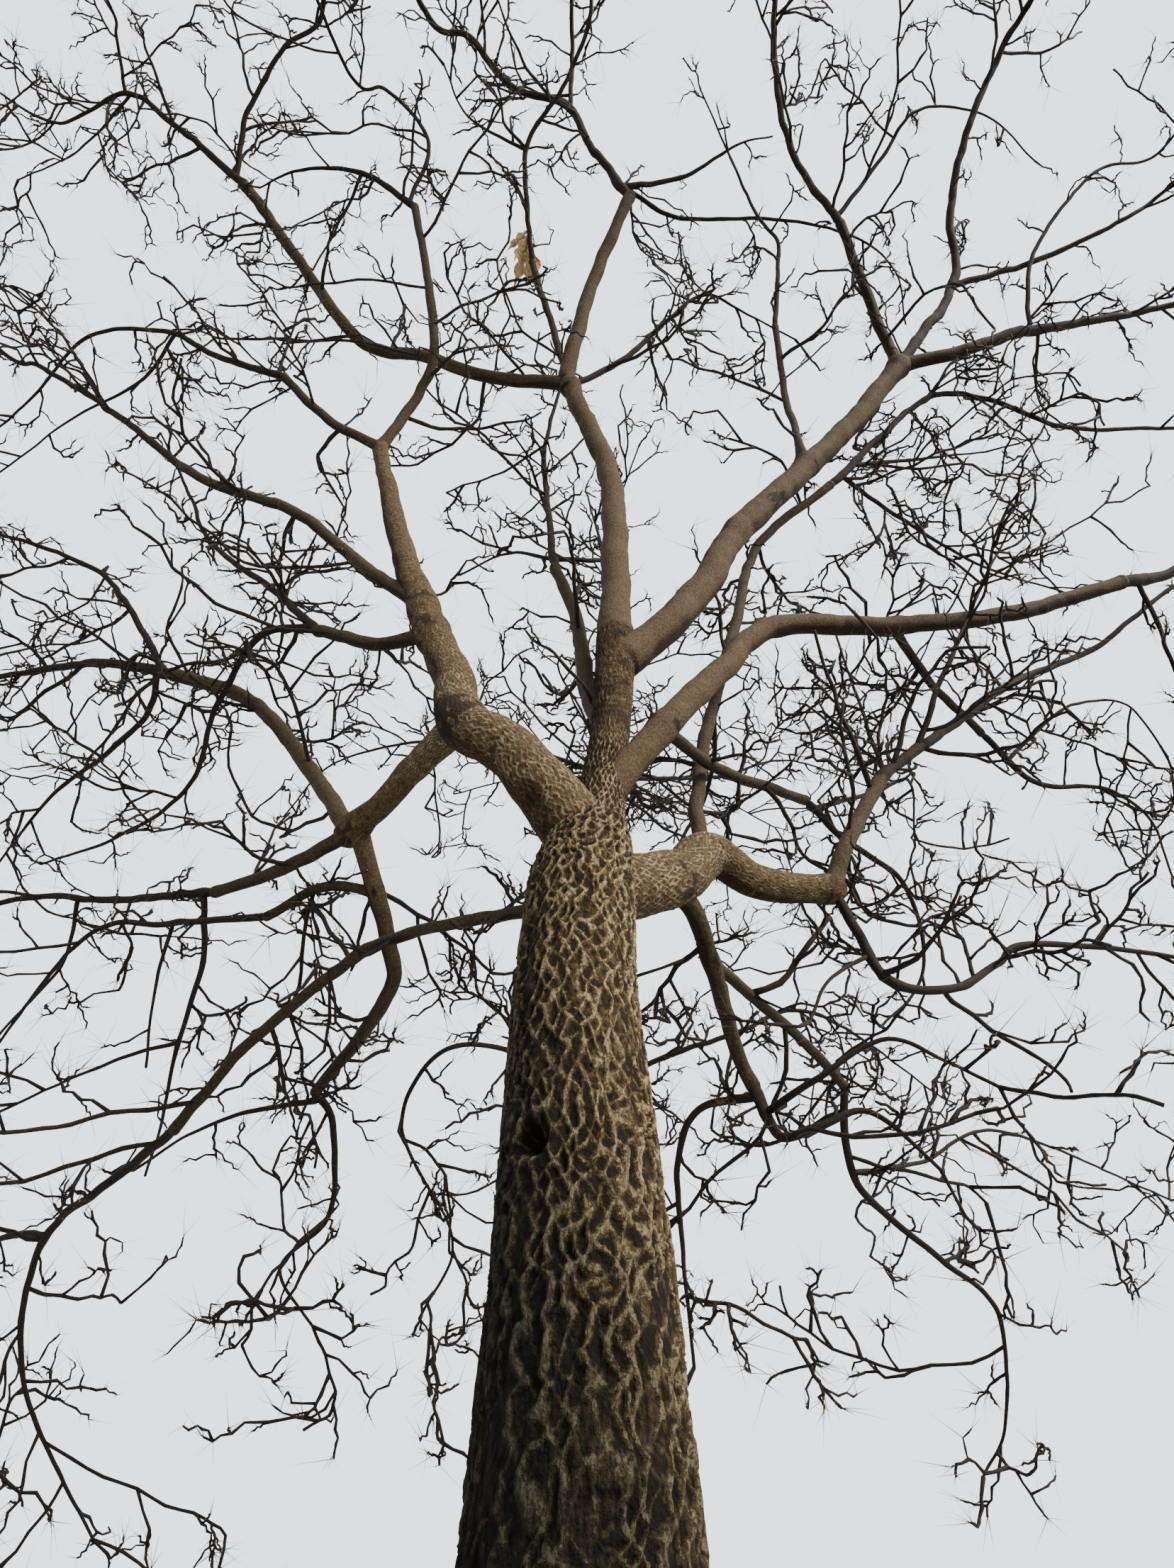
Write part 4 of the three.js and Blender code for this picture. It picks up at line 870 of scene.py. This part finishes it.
# The other boughs: 27 crooked tapering limbs with smooth olive-tan bark, dark and wrinkled round
# their feet and forks and darker where they are thin. Each is rooted in the limb that it grew from.
bough_bark, tree, colour, grain = bark_material("bough bark", 90.0, 0.003, 0.82)
fleck, fibre = grain.outputs["Fleck"], grain.outputs["Fibre"]
skin = layered(
    tree, (0.0161, 0.0102, 0.00465), (fleck, 0.36, 0.66, (0.0372, 0.0257, 0.013)),
    (fibre, 0.48, 0.62, (0.0248, 0.0164, 0.00775)),
)
aged = layered(tree, (0.0072, 0.0048, 0.0027), (fleck, 0.3, 0.7, (0.0172, 0.0119, 0.0068)))
skin = mixed(tree, reading(tree, "thin"), skin, aged)
tree.links.new(weathered_and_shaded(tree, skin, fibre, (0.0056, 0.0036, 0.0019)), colour)
plain_boughs = {name: limb["foot"] for name, limb in limbs.items() if not (limb["mass"] or name in NETTED)}
surface = joined_surfaces([
    limb_surface(name, 36 if foot > 0.05 else (24 if foot > 0.033 else 18))
    for name, foot in plain_boughs.items()
])
joined_mesh("boughs", *surface, bough_bark, "bough_bark", ["bough_" + name for name in plain_boughs])


# The branches of the twig masses: a stem that grows on from each bough's tip and the branches that
# leave it, brown to dark, knobbed at every old bud, each rooted inside the limb that it grew from.
branch_bark, tree, colour, grain = bark_material("branch bark", 130.0, 0.002, 0.8)
fleck, fibre = grain.outputs["Fleck"], grain.outputs["Fibre"]
skin = layered(tree, (0.0085, 0.0055, 0.003), (fleck, 0.34, 0.68, (0.019, 0.013, 0.0074)))
slim = layered(tree, (0.0048, 0.0033, 0.0022), (fleck, 0.3, 0.7, (0.011, 0.0077, 0.0052)))
skin = mixed(tree, reading(tree, "thin"), skin, slim)
tree.links.new(weathered_and_shaded(tree, skin, fibre, (0.008, 0.0055, 0.0035)), colour)
masses = list(dict.fromkeys(limb["mass"] for limb in limbs.values() if limb["mass"]))
surface = joined_surfaces([
    limb_surface(name, 12 if limb["foot"] > 0.022 else 9) for name, limb in limbs.items() if limb["mass"]
])
joined_mesh("branches", *surface, branch_bark, "twigs", ["twigs_" + mass for mass in masses])


# The side branches: slim crooked brown branches, 0.4 to 1.4 m long and 1.5 to 2.8 cm thick at the
# foot, that stand off every branch and slim bough in turn round its line. Each mass's keep to the
# space nearest to its own branches and clear of the boughs, and some masses are sparser.
SIDE = {"spacing": 0.25, "length": 1.3, "angle": 58, "foot": 0.0115, "tip": 0.0064}
SPARSER = {"low_back": 0.25, "high_back": 0.3, "pale_mid": 0.45, "back_right": 0.5, "right_hang": 0.3}
NO_MASS = -1
GOLDEN_TURN = np.radians(137.5)


def turned(vectors, axes, angles):
    """The vectors turned about unit axes by angles: v cos + (axis x v) sin + axis (axis.v)(1 - cos)."""
    angles = np.asarray(angles)[:, None]
    part = (vectors * axes).sum(-1, keepdims=True) * axes * (1 - np.cos(angles))
    return vectors * np.cos(angles) + np.cross(axes, vectors) * np.sin(angles) + part


def square_to(along):
    """A unit vector square to each direction, made with +X where it is steep and else with +Z."""
    steep = np.abs(along[:, 2:]) > 0.9
    return unit(np.cross(np.where(steep, [[1.0, 0, 0]], [[0, 0, 1.0]]), along))


def crooked_lines(start, heading, length, shares, kinks, curl, lift, rng):
    """Lines grown step by step, each step a share of the length. At each node the heading is turned
    to and fro by about the kink angle, in a plane that rolls, then a little always the same way by
    the curl, and is lifted."""
    many = len(start)
    plane = unit(np.cross(heading, rng.normal(size=(many, 3))))
    side = np.where(rng.random(many) < 0.5, -1.0, 1.0)
    bow = curl * rng.normal(size=many)
    nodes = [start]
    for share, kink in zip(shares, kinks):
        swing = side * np.radians(kink) * (0.45 + 1.1 * rng.random(many)) + np.radians(bow)
        heading = turned(heading, plane, swing)
        heading = unit(heading + np.array([0, 0, lift]))
        side = -side
        plane = unit(plane + 0.55 * rng.normal(size=(many, 3)))
        plane = unit(plane - (plane * heading).sum(-1, keepdims=True) * heading)
        step = (length * share * (0.7 + 0.6 * rng.random(many)))[:, None]
        nodes.append(nodes[-1] + heading * step)
    return np.stack(nodes, axis=1)


def owner_of(limb):
    """The number of the mass that a limb is in, or that of no mass for a bough."""
    return masses.index(limb["mass"]) if limb["mass"] else NO_MASS


def straight_stretches():
    """Straight stretches of all limbs and of the trunk: both ends, owner's number and radius."""
    heights = np.linspace(0, TOP, 18)
    radius, x, y = trunk_profile(heights)
    rows = []
    for limb in limbs.values():
        picked = np.unique(np.linspace(0, len(limb["line"]) - 1, limb["legs"] * 3 + 1).astype(int))
        rows.append((limb["line"][picked], owner_of(limb), limb["radius"][picked]))
    rows.append((np.stack([x, y, heights], axis=-1), NO_MASS, radius))
    ends = [np.stack([points[:-1], points[1:]], axis=1) for points, _, _ in rows]
    owners = [np.full(len(points) - 1, owner) for points, owner, _ in rows]
    return np.concatenate(ends), np.concatenate(owners), np.concatenate([thick[:-1] for _, _, thick in rows])


def in_own_space(points, owner, margin):
    """Whether each point is nearer by the margin to its own mass's branches than to another mass's,
    and 2.2 cm clear of every bough. A point that no mass owns only has to be clear."""
    answers = []
    a, ab = stretch_ends[:, 0], stretch_ends[:, 1] - stretch_ends[:, 0]
    for low in range(0, len(points), 1200):
        some, owns = points[low:low + 1200, None], owner[low:low + 1200, None]
        share = np.clip(((some - a) * ab).sum(-1) / (ab * ab).sum(-1), 0, 1)
        gap = np.linalg.norm(some - a - share[..., None] * ab, axis=-1)
        own = np.where(stretch_owner == owns, gap, np.inf).min(1)
        other = np.where((stretch_owner != owns) & (stretch_owner >= 0), gap, np.inf).min(1)
        bough_gap = np.where(stretch_owner < 0, gap - stretch_radius, np.inf).min(1)
        answers.append((bough_gap > 0.022) & ((owns[:, 0] < 0) | (own + margin < other)))
    return np.concatenate(answers)


def inside_reach(lines):
    """Whether every point of a line is above the ground and within 20 cm of the tree's solid reach."""
    low, high = np.array(size_at_start) + [[-0.2], [0.2]]
    low[2] = 0.02
    return ((lines > low) & (lines < high)).all(axis=(1, 2))


def well_placed(lines, owner, steps, margin):
    """Whether a line stays inside the tree's reach and, at the given nodes, in its own space."""
    kept = inside_reach(lines)
    for step in steps:
        kept &= in_own_space(lines[:, step], owner, margin)
    return kept


def roots_on_limbs(mass_gap, bough_gap, angle, rng):
    """Where shoots leave the limbs: along each branch at jumps of about the mass gap and at its tip,
    and along the slimmer boughs at jumps of about the bough gap, each a golden turn further round.
    Gives the point, the direction that the shoot leaves in, the limb's radius and the owner."""
    found = []
    for limb in limbs.values():
        run, length = limb["run"], limb["run"][-1]
        if limb["mass"]:
            first, gap, tip = 0.1, mass_gap, [length]
        elif limb["foot"] < 0.045:
            first, gap, tip = 0.3, bough_gap, []
        else:
            continue
        jumps = gap * (0.7 + 0.6 * rng.random(120))
        places = np.cumsum(np.concatenate([[first], jumps]))
        places = np.concatenate([places[places < length - 0.05], tip])
        along = unit(read_off(np.gradient(limb["line"], axis=0), run, places))
        turns = rng.random() * 2 * np.pi + GOLDEN_TURN * np.arange(len(places))
        off = np.radians(angle) * np.where(places == length, 0.5, 1)[:, None]
        heading = along * np.cos(off) + turned(square_to(along), along, turns) * np.sin(off)
        radius = np.interp(places, run, limb["radius"])
        owner = np.full(len(places), owner_of(limb))
        found.append((read_off(limb["line"], run, places), heading, radius, owner))
    return [np.concatenate(column) for column in zip(*found)]


def ways_off(lines, step, rng):
    """The direction of each line as it reaches a node, and a random one square to it."""
    along = unit(lines[:, step] - lines[:, step - 1])
    return along, turned(square_to(along), along, rng.random(len(along)) * 2 * np.pi)


def roots_on_lines(lines, owner, nodes, chance, narrow, wide, rng):
    """Where shoots leave the nodes of the given lines: those that win by chance, with a heading that
    stands off the line between the narrow and the wide angle, at a random turn round it."""
    found = []
    for step in nodes:
        wins = rng.random(len(lines)) < chance
        along, side = ways_off(lines[wins], step, rng)
        angle = np.radians(narrow + (wide - narrow) * rng.random(wins.sum()))[:, None]
        found.append((lines[wins, step], along * np.cos(angle) + side * np.sin(angle), owner[wins]))
    return [np.concatenate(column) for column in zip(*found)]


def tapered(foot, tip, rings, knob):
    """Radii of many tapering twigs, with every second ring, the one on a bud, thicker by the knob."""
    radii = foot[:, None] + (tip - foot)[:, None] * np.linspace(0, 1, rings)
    return radii * (1 + knob * (np.arange(rings) % 2 == 0))


def rounded_bends(lines):
    """The lines with a point put in halfway along each step, and each old point moved a quarter of
    the way to the middle of its two neighbours, so that bends are rounded."""
    full = np.repeat(lines, 2, axis=1)[:, :-1]
    full[:, 2:-1:2] = 0.75 * lines[:, 1:-1] + 0.125 * (lines[:, 2:] + lines[:, :-2])
    full[:, 1::2] = (lines[:, 1:] + lines[:, :-1]) / 2
    return full


stretch_ends, stretch_owner, stretch_radius = straight_stretches()
rng = np.random.default_rng(70)
root, heading, limb_thickness, side_owner = roots_on_limbs(
    mass_gap=SIDE["spacing"], bough_gap=0.36, angle=SIDE["angle"], rng=rng
)
length = SIDE["length"] * (0.3 + 0.75 * rng.random(len(root)) ** 1.2)
kinks = [12, 20, 26, 30, 33, 36, 38, 42]
side_lines = crooked_lines(root, heading, length, [1 / 8] * 8, kinks, curl=8, lift=0.02, rng=rng)
lost = np.array([SPARSER.get(mass, 0) for mass in masses] + [0])
kept = rng.random(len(root)) >= lost[side_owner]
kept &= well_placed(side_lines, side_owner, (2, 4, 6, 8), margin=0.03)
side_owner = side_owner[kept]
foot = SIDE["foot"] * (0.7 + 0.5 * rng.random(kept.sum()))
foot = np.minimum(np.maximum(limb_thickness[kept] * 0.65, 0.0074), foot)
full = rounded_bends(side_lines[kept])
side_lines = full[:, 0::2]
radii = tapered(foot, np.minimum(foot * 0.85, SIDE["tip"]), full.shape[1], knob=0.12)
vertices, triangles = tubes(full, radii, sides=6)
values = {"stain": np.zeros(len(vertices)), "thin": np.ones(len(vertices))}
joined_mesh("side_branches", vertices, triangles, values, branch_bark, "twigs", [])


# The twigs: slim shoots of the last years, 14 to 54 cm long and 11 to 17 mm thick at the foot, that
# stand off the side branches, branches and slim boughs. They are straight at first and then bent to
# and fro at every bud, with a thin dark bark. Half of them make up each of the two pieces.
def two_tone(name, fineness, relief, roughness, dark, pale, low=0.35, high=0.65):
    """A thin skin of two tones in soft flecks."""
    material, tree, colour, grain = bark_material(name, fineness, relief, roughness)
    tree.links.new(layered(tree, dark, (grain.outputs["Fleck"], low, high, pale)), colour)
    return material


def in_two_pieces(name, lines, radii, sides):
    """Tubes in twig bark round many lines as two pieces, numbered 1 and 2."""
    share = int(np.ceil(len(lines) / 2))
    for number in (1, 2):
        some = slice((number - 1) * share, number * share)
        surface = tubes(lines[some], radii[some], sides)
        joined_mesh(f"{name}_{number}", *surface, {}, twig_bark, "twigs", [])


rng = np.random.default_rng(71)
root, heading, _, owner = roots_on_limbs(mass_gap=0.3, bough_gap=0.6, angle=56, rng=rng)
nodes = [2, 3, 4, 5, 6, 7, 8]
more = roots_on_lines(side_lines, side_owner, nodes, chance=0.62, narrow=35, wide=70, rng=rng)
root, heading, twig_owner = (np.concatenate(pair) for pair in zip((root, heading, owner), more))
length = 0.14 + 0.4 * rng.random(len(root)) ** 1.4
shares, kinks = [0.24, 0.2, 0.16, 0.12, 0.1, 0.09, 0.09], [9, 18, 27, 37, 42, 45, 47]
twig_lines = crooked_lines(root, heading, length, shares, kinks, curl=11, lift=0.03, rng=rng)
kept = well_placed(twig_lines, twig_owner, (3, 7), margin=0.02)
twig_lines, twig_owner = twig_lines[kept], twig_owner[kept]
foot = 0.0074 * (0.75 + 0.4 * rng.random(len(twig_lines)))
dark, pale = (0.0042, 0.0028, 0.0021), (0.01, 0.0068, 0.0048)
twig_bark = two_tone("twig bark", 240.0, 0.0008, 0.75, dark, pale, 0.32, 0.68)
in_two_pieces("twigs", twig_lines, tapered(foot, foot * 0.7, 8, knob=0.3), sides=4)


# The shoots: short knobby spurs, 4 to 21 cm long, that leave the outer half of each twig from one bud
# after another. They bend to and fro at every bud, and many curl over a little, in the same bark.
rng = np.random.default_rng(72)
root, heading, shoot_owner = roots_on_lines(
    twig_lines, twig_owner, [2, 3, 4, 5, 6], chance=0.46, narrow=35, wide=75, rng=rng
)
length = 0.045 + 0.17 * rng.random(len(root)) ** 1.4
shares, kinks = [0.26, 0.22, 0.2, 0.17, 0.15], [22, 34, 40, 44, 46]
shoot_lines = crooked_lines(root, heading, length, shares, kinks, curl=15, lift=0.05, rng=rng)
shoot_lines = shoot_lines[well_placed(shoot_lines, shoot_owner, (5,), margin=0.02)]
foot = 0.0056 * (0.8 + 0.4 * rng.random(len(shoot_lines)))
in_two_pieces("shoots", shoot_lines, tapered(foot, foot * 0.75, 6, knob=0.35), sides=3)


# The stalks: straight hair-thin leaf stalks and shoot tips, 6 to 22 cm long, that stay on all winter.
# They fan out from the ends of the twigs and shoots, yellowish brown, and run out to a point.
def needles(roots, headings, tips, radii):
    """Straight three-sided needles: a triangle of that radius square to the heading, sunk into the
    shoot, and three long faces that meet at the tip."""
    across = square_to(headings)
    over = np.cross(headings, across)
    foot = roots - headings * 0.001
    angle = np.arange(3) * 2 * np.pi / 3
    ring = across[:, None] * np.cos(angle)[:, None] + over[:, None] * np.sin(angle)[:, None]
    corners = foot[:, None] + ring * radii[:, None, None]
    vertices = np.concatenate([corners, tips[:, None]], axis=1)
    triangles = repeated([[0, 2, 1], [0, 1, 3], [1, 2, 3], [2, 0, 3]], 4, len(roots))
    return vertices.reshape(-1, 3), triangles


rng = np.random.default_rng(73)
root, heading = [], []
sheaves = ((twig_lines, 7, 5), (twig_lines, 6, 2), (shoot_lines, 5, 3), (shoot_lines, 3, 1))
for lines, step, number in sheaves:
    for _ in range(number):
        along, side = ways_off(lines, step, rng)
        angle = np.radians(8 + 62 * rng.random(len(along)))[:, None]
        root.append(lines[:, step])
        heading.append(unit(along * np.cos(angle) + side * np.sin(angle) + [0, 0, 0.25]))
root, heading = np.concatenate(root), np.concatenate(heading)
kept = rng.random(len(root)) < 0.8
root, heading = root[kept], heading[kept]
length = 0.06 + 0.16 * rng.random(len(root)) ** 1.6
tips = root + heading * length[:, None]
kept = inside_reach(np.stack([root, tips], axis=1))
root, heading, tips = root[kept], heading[kept], tips[kept]
thickness = 0.0018 * (0.7 + 0.6 * rng.random(len(root)))
stalk_skin = two_tone("stalk skin", 300.0, 0.0001, 0.7, (0.012, 0.0075, 0.0036), (0.042, 0.027, 0.0115))
joined_mesh("stalks", *needles(root, heading, tips, thickness), {}, stalk_skin, "twigs", [])


# The winter buds: blunt yellowish-green buds 8 mm long that sit against the bends of the shoots, each
# a solid of six faces that stands out of the bark.
rng = np.random.default_rng(74)
spots, ways = [], []
for step in (2, 4, 5):
    wins = rng.random(len(shoot_lines)) < 0.5
    along, side = ways_off(shoot_lines[wins], step, rng)
    spots.append(shoot_lines[wins, step] + side * 0.0015)
    ways.append(unit(along + side))
spots, ways = np.concatenate(spots), np.concatenate(ways)
across = square_to(ways)
over = np.cross(ways, across)
ring = [np.cos(turn) * across + np.sin(turn) * over for turn in np.radians([0, 120, 240])]
corners = [spots + ways * 0.0035 + 0.0026 * spoke for spoke in ring] + [spots, spots + ways * 0.008]
vertices = np.stack(corners, axis=1).reshape(-1, 3)
triangles = repeated([[1, 0, 3], [2, 1, 3], [0, 2, 3], [0, 1, 4], [1, 2, 4], [2, 0, 4]], 5, len(spots))
bud_skin = two_tone("bud skin", 400.0, 0.0003, 0.6, (0.13, 0.1, 0.022), (0.25, 0.21, 0.055))
joined_mesh("buds", vertices, triangles, {}, bud_skin, "twigs", [])


# The dry leaves: a few broad lobed leaves that hung on after the fall, crumpled and pale tan, caught
# by their stalks on a slim branch near the crown's top, and two darker leaves at the left.
def leaf_surface(rows, columns, length, width, crumple, rng):
    """A hanging leaf as a grid: half width follows sin(pi t^0.8) with three lobes, the blade is folded
    along its midrib, bulges outwards by sin(pi t) and is crumpled. Both faces are made, 0.6 mm apart."""
    t, s = np.meshgrid(np.linspace(0, 1, rows), np.linspace(-1, 1, columns), indexing="ij")
    lobes = 0.72 + 0.28 * np.cos(6 * np.pi * t) * np.abs(s)
    half = width / 2 * np.sin(np.pi * np.clip(t, 0.02, 0.98) ** 0.8) * lobes
    x = s * half
    bulge = 0.1 * length * np.sin(np.pi * t * 0.9) + 0.45 * np.abs(x)
    crumpled = crumple * rng.normal(size=t.shape) * np.sin(np.pi * t)
    face = np.stack([x * 0.8, bulge + crumpled, -length * t + crumpled], axis=-1)
    both = np.vstack([face.reshape(-1, 3), (face - [0, 0.0006, 0]).reshape(-1, 3)])
    i, j = np.meshgrid(np.arange(rows - 1), np.arange(columns - 1), indexing="ij")
    a = i * columns + j
    b, c, d = a + 1, a + columns + 1, a + columns
    upper = np.stack([a, b, c, a, c, d], axis=-1).reshape(-1, 3)
    lower = upper[:, ::-1] + rows * columns
    rim = np.concatenate([
        np.arange(columns - 1), np.arange(columns - 1, rows * columns - 1, columns),
        np.arange(rows * columns - 1, (rows - 1) * columns, -1),
        np.arange((rows - 1) * columns, 0, -columns),
    ])
    onward = np.roll(rim, -1)
    under, under_onward = rim + rows * columns, onward + rows * columns
    edge = np.stack([rim, under, under_onward, rim, under_onward, onward], axis=-1).reshape(-1, 3)
    return both, np.vstack([upper, lower, edge])


def leaf_cluster(limb, place, sizes, seed):
    """Leaves of the given sizes, hung from a limb at a place counted in its legs and each a little
    further along it. Each is turned 0.28 radians further round the upright and leans back by 40 to
    70 degrees."""
    rng = np.random.default_rng(seed)
    line = limbs[limb]["line"]
    parts = []
    for number, size in enumerate(sizes):
        at = (place + 0.03 * number) / limbs[limb]["legs"] * (len(line) - 1)
        spot = read_off(line, np.arange(len(line)), at)
        vertices, triangles = leaf_surface(11, 7, size, size * 0.4, size * 0.02, rng)
        turn = 0.28 * number - 0.2
        tilt = np.radians(40 + 30 * rng.random())
        lean = np.array([[1, 0, 0], [0, np.cos(tilt), np.sin(tilt)], [0, -np.sin(tilt), np.cos(tilt)]])
        spin = np.array([[np.cos(turn), -np.sin(turn), 0], [np.sin(turn), np.cos(turn), 0], [0, 0, 1]])
        parts.append((vertices @ lean @ spin.T + spot, triangles, {}))
    return joined_surfaces(parts)


surface = leaf_cluster("thin_top/0", 0.15, sizes=[0.34, 0.28, 0.32, 0.24, 0.2], seed=3)
leaf_skin = two_tone("dry leaf skin", 60.0, 0.001, 0.7, (0.12, 0.078, 0.033), (0.25, 0.18, 0.09))
joined_mesh("dry_leaves", *surface, leaf_skin, "twigs", [])
surface = leaf_cluster("left_out/1", 1.5, sizes=[0.14, 0.1], seed=5)
leaf_skin = two_tone("dark leaf skin", 60.0, 0.001, 0.7, (0.03, 0.018, 0.012), (0.08, 0.05, 0.03))
joined_mesh("dark_leaves", *surface, leaf_skin, "twigs", [])


# The studio: a wide pale floor at the flat cut, even pale light from all round, and one broad warm
# lamp in front and to the right, 32 degrees up and as soft as the sun behind thin cloud.
floor_corners = [(-60, -60, 0), (60, -60, 0), (60, 60, 0), (-60, 60, 0)]
mesh = bpy.data.meshes.new("floor")
mesh.from_pydata(floor_corners, [], [(0, 1, 2, 3)])
floor = bpy.data.objects.new("floor", mesh)
bpy.context.scene.collection.objects.link(floor)
floor_paint = bpy.data.materials.new("floor paint")
floor_paint.use_nodes = True
paint = floor_paint.node_tree.nodes["Principled BSDF"].inputs
paint["Base Color"].default_value = (0.42, 0.425, 0.43, 1)
paint["Roughness"].default_value = 0.9
mesh.materials.append(floor_paint)
world = bpy.data.worlds.new("pale light")
world.use_nodes = True
backdrop = world.node_tree.nodes["Background"]
backdrop.inputs["Color"].default_value = (0.88, 0.94, 1.0, 1)
backdrop.inputs["Strength"].default_value = 2.5
bpy.context.scene.world = world
lamp = bpy.data.lights.new("broad lamp", "SUN")
lamp.energy = 20
lamp.angle = np.radians(24)
lamp.color = (1, 0.95, 0.88)
lamp_stand = bpy.data.objects.new("broad lamp", lamp)
lamp_stand.rotation_euler = (np.radians(58), 0, np.radians(48))
bpy.context.scene.collection.objects.link(lamp_stand)


# The camera: a wide lens at eye height 2.5 m in front of the trunk, tipped up by 54 degrees.
lens = bpy.data.cameras.new("camera")
lens.sensor_width = 36
lens.lens = 27.02
lens.clip_start = 0.05
lens.clip_end = 200
camera = bpy.data.objects.new("camera", lens)
camera.location = (0, -2.5, 1.5)
camera.rotation_euler = (np.radians(144), 0, 0)
bpy.context.scene.collection.objects.link(camera)
bpy.context.scene.camera = camera
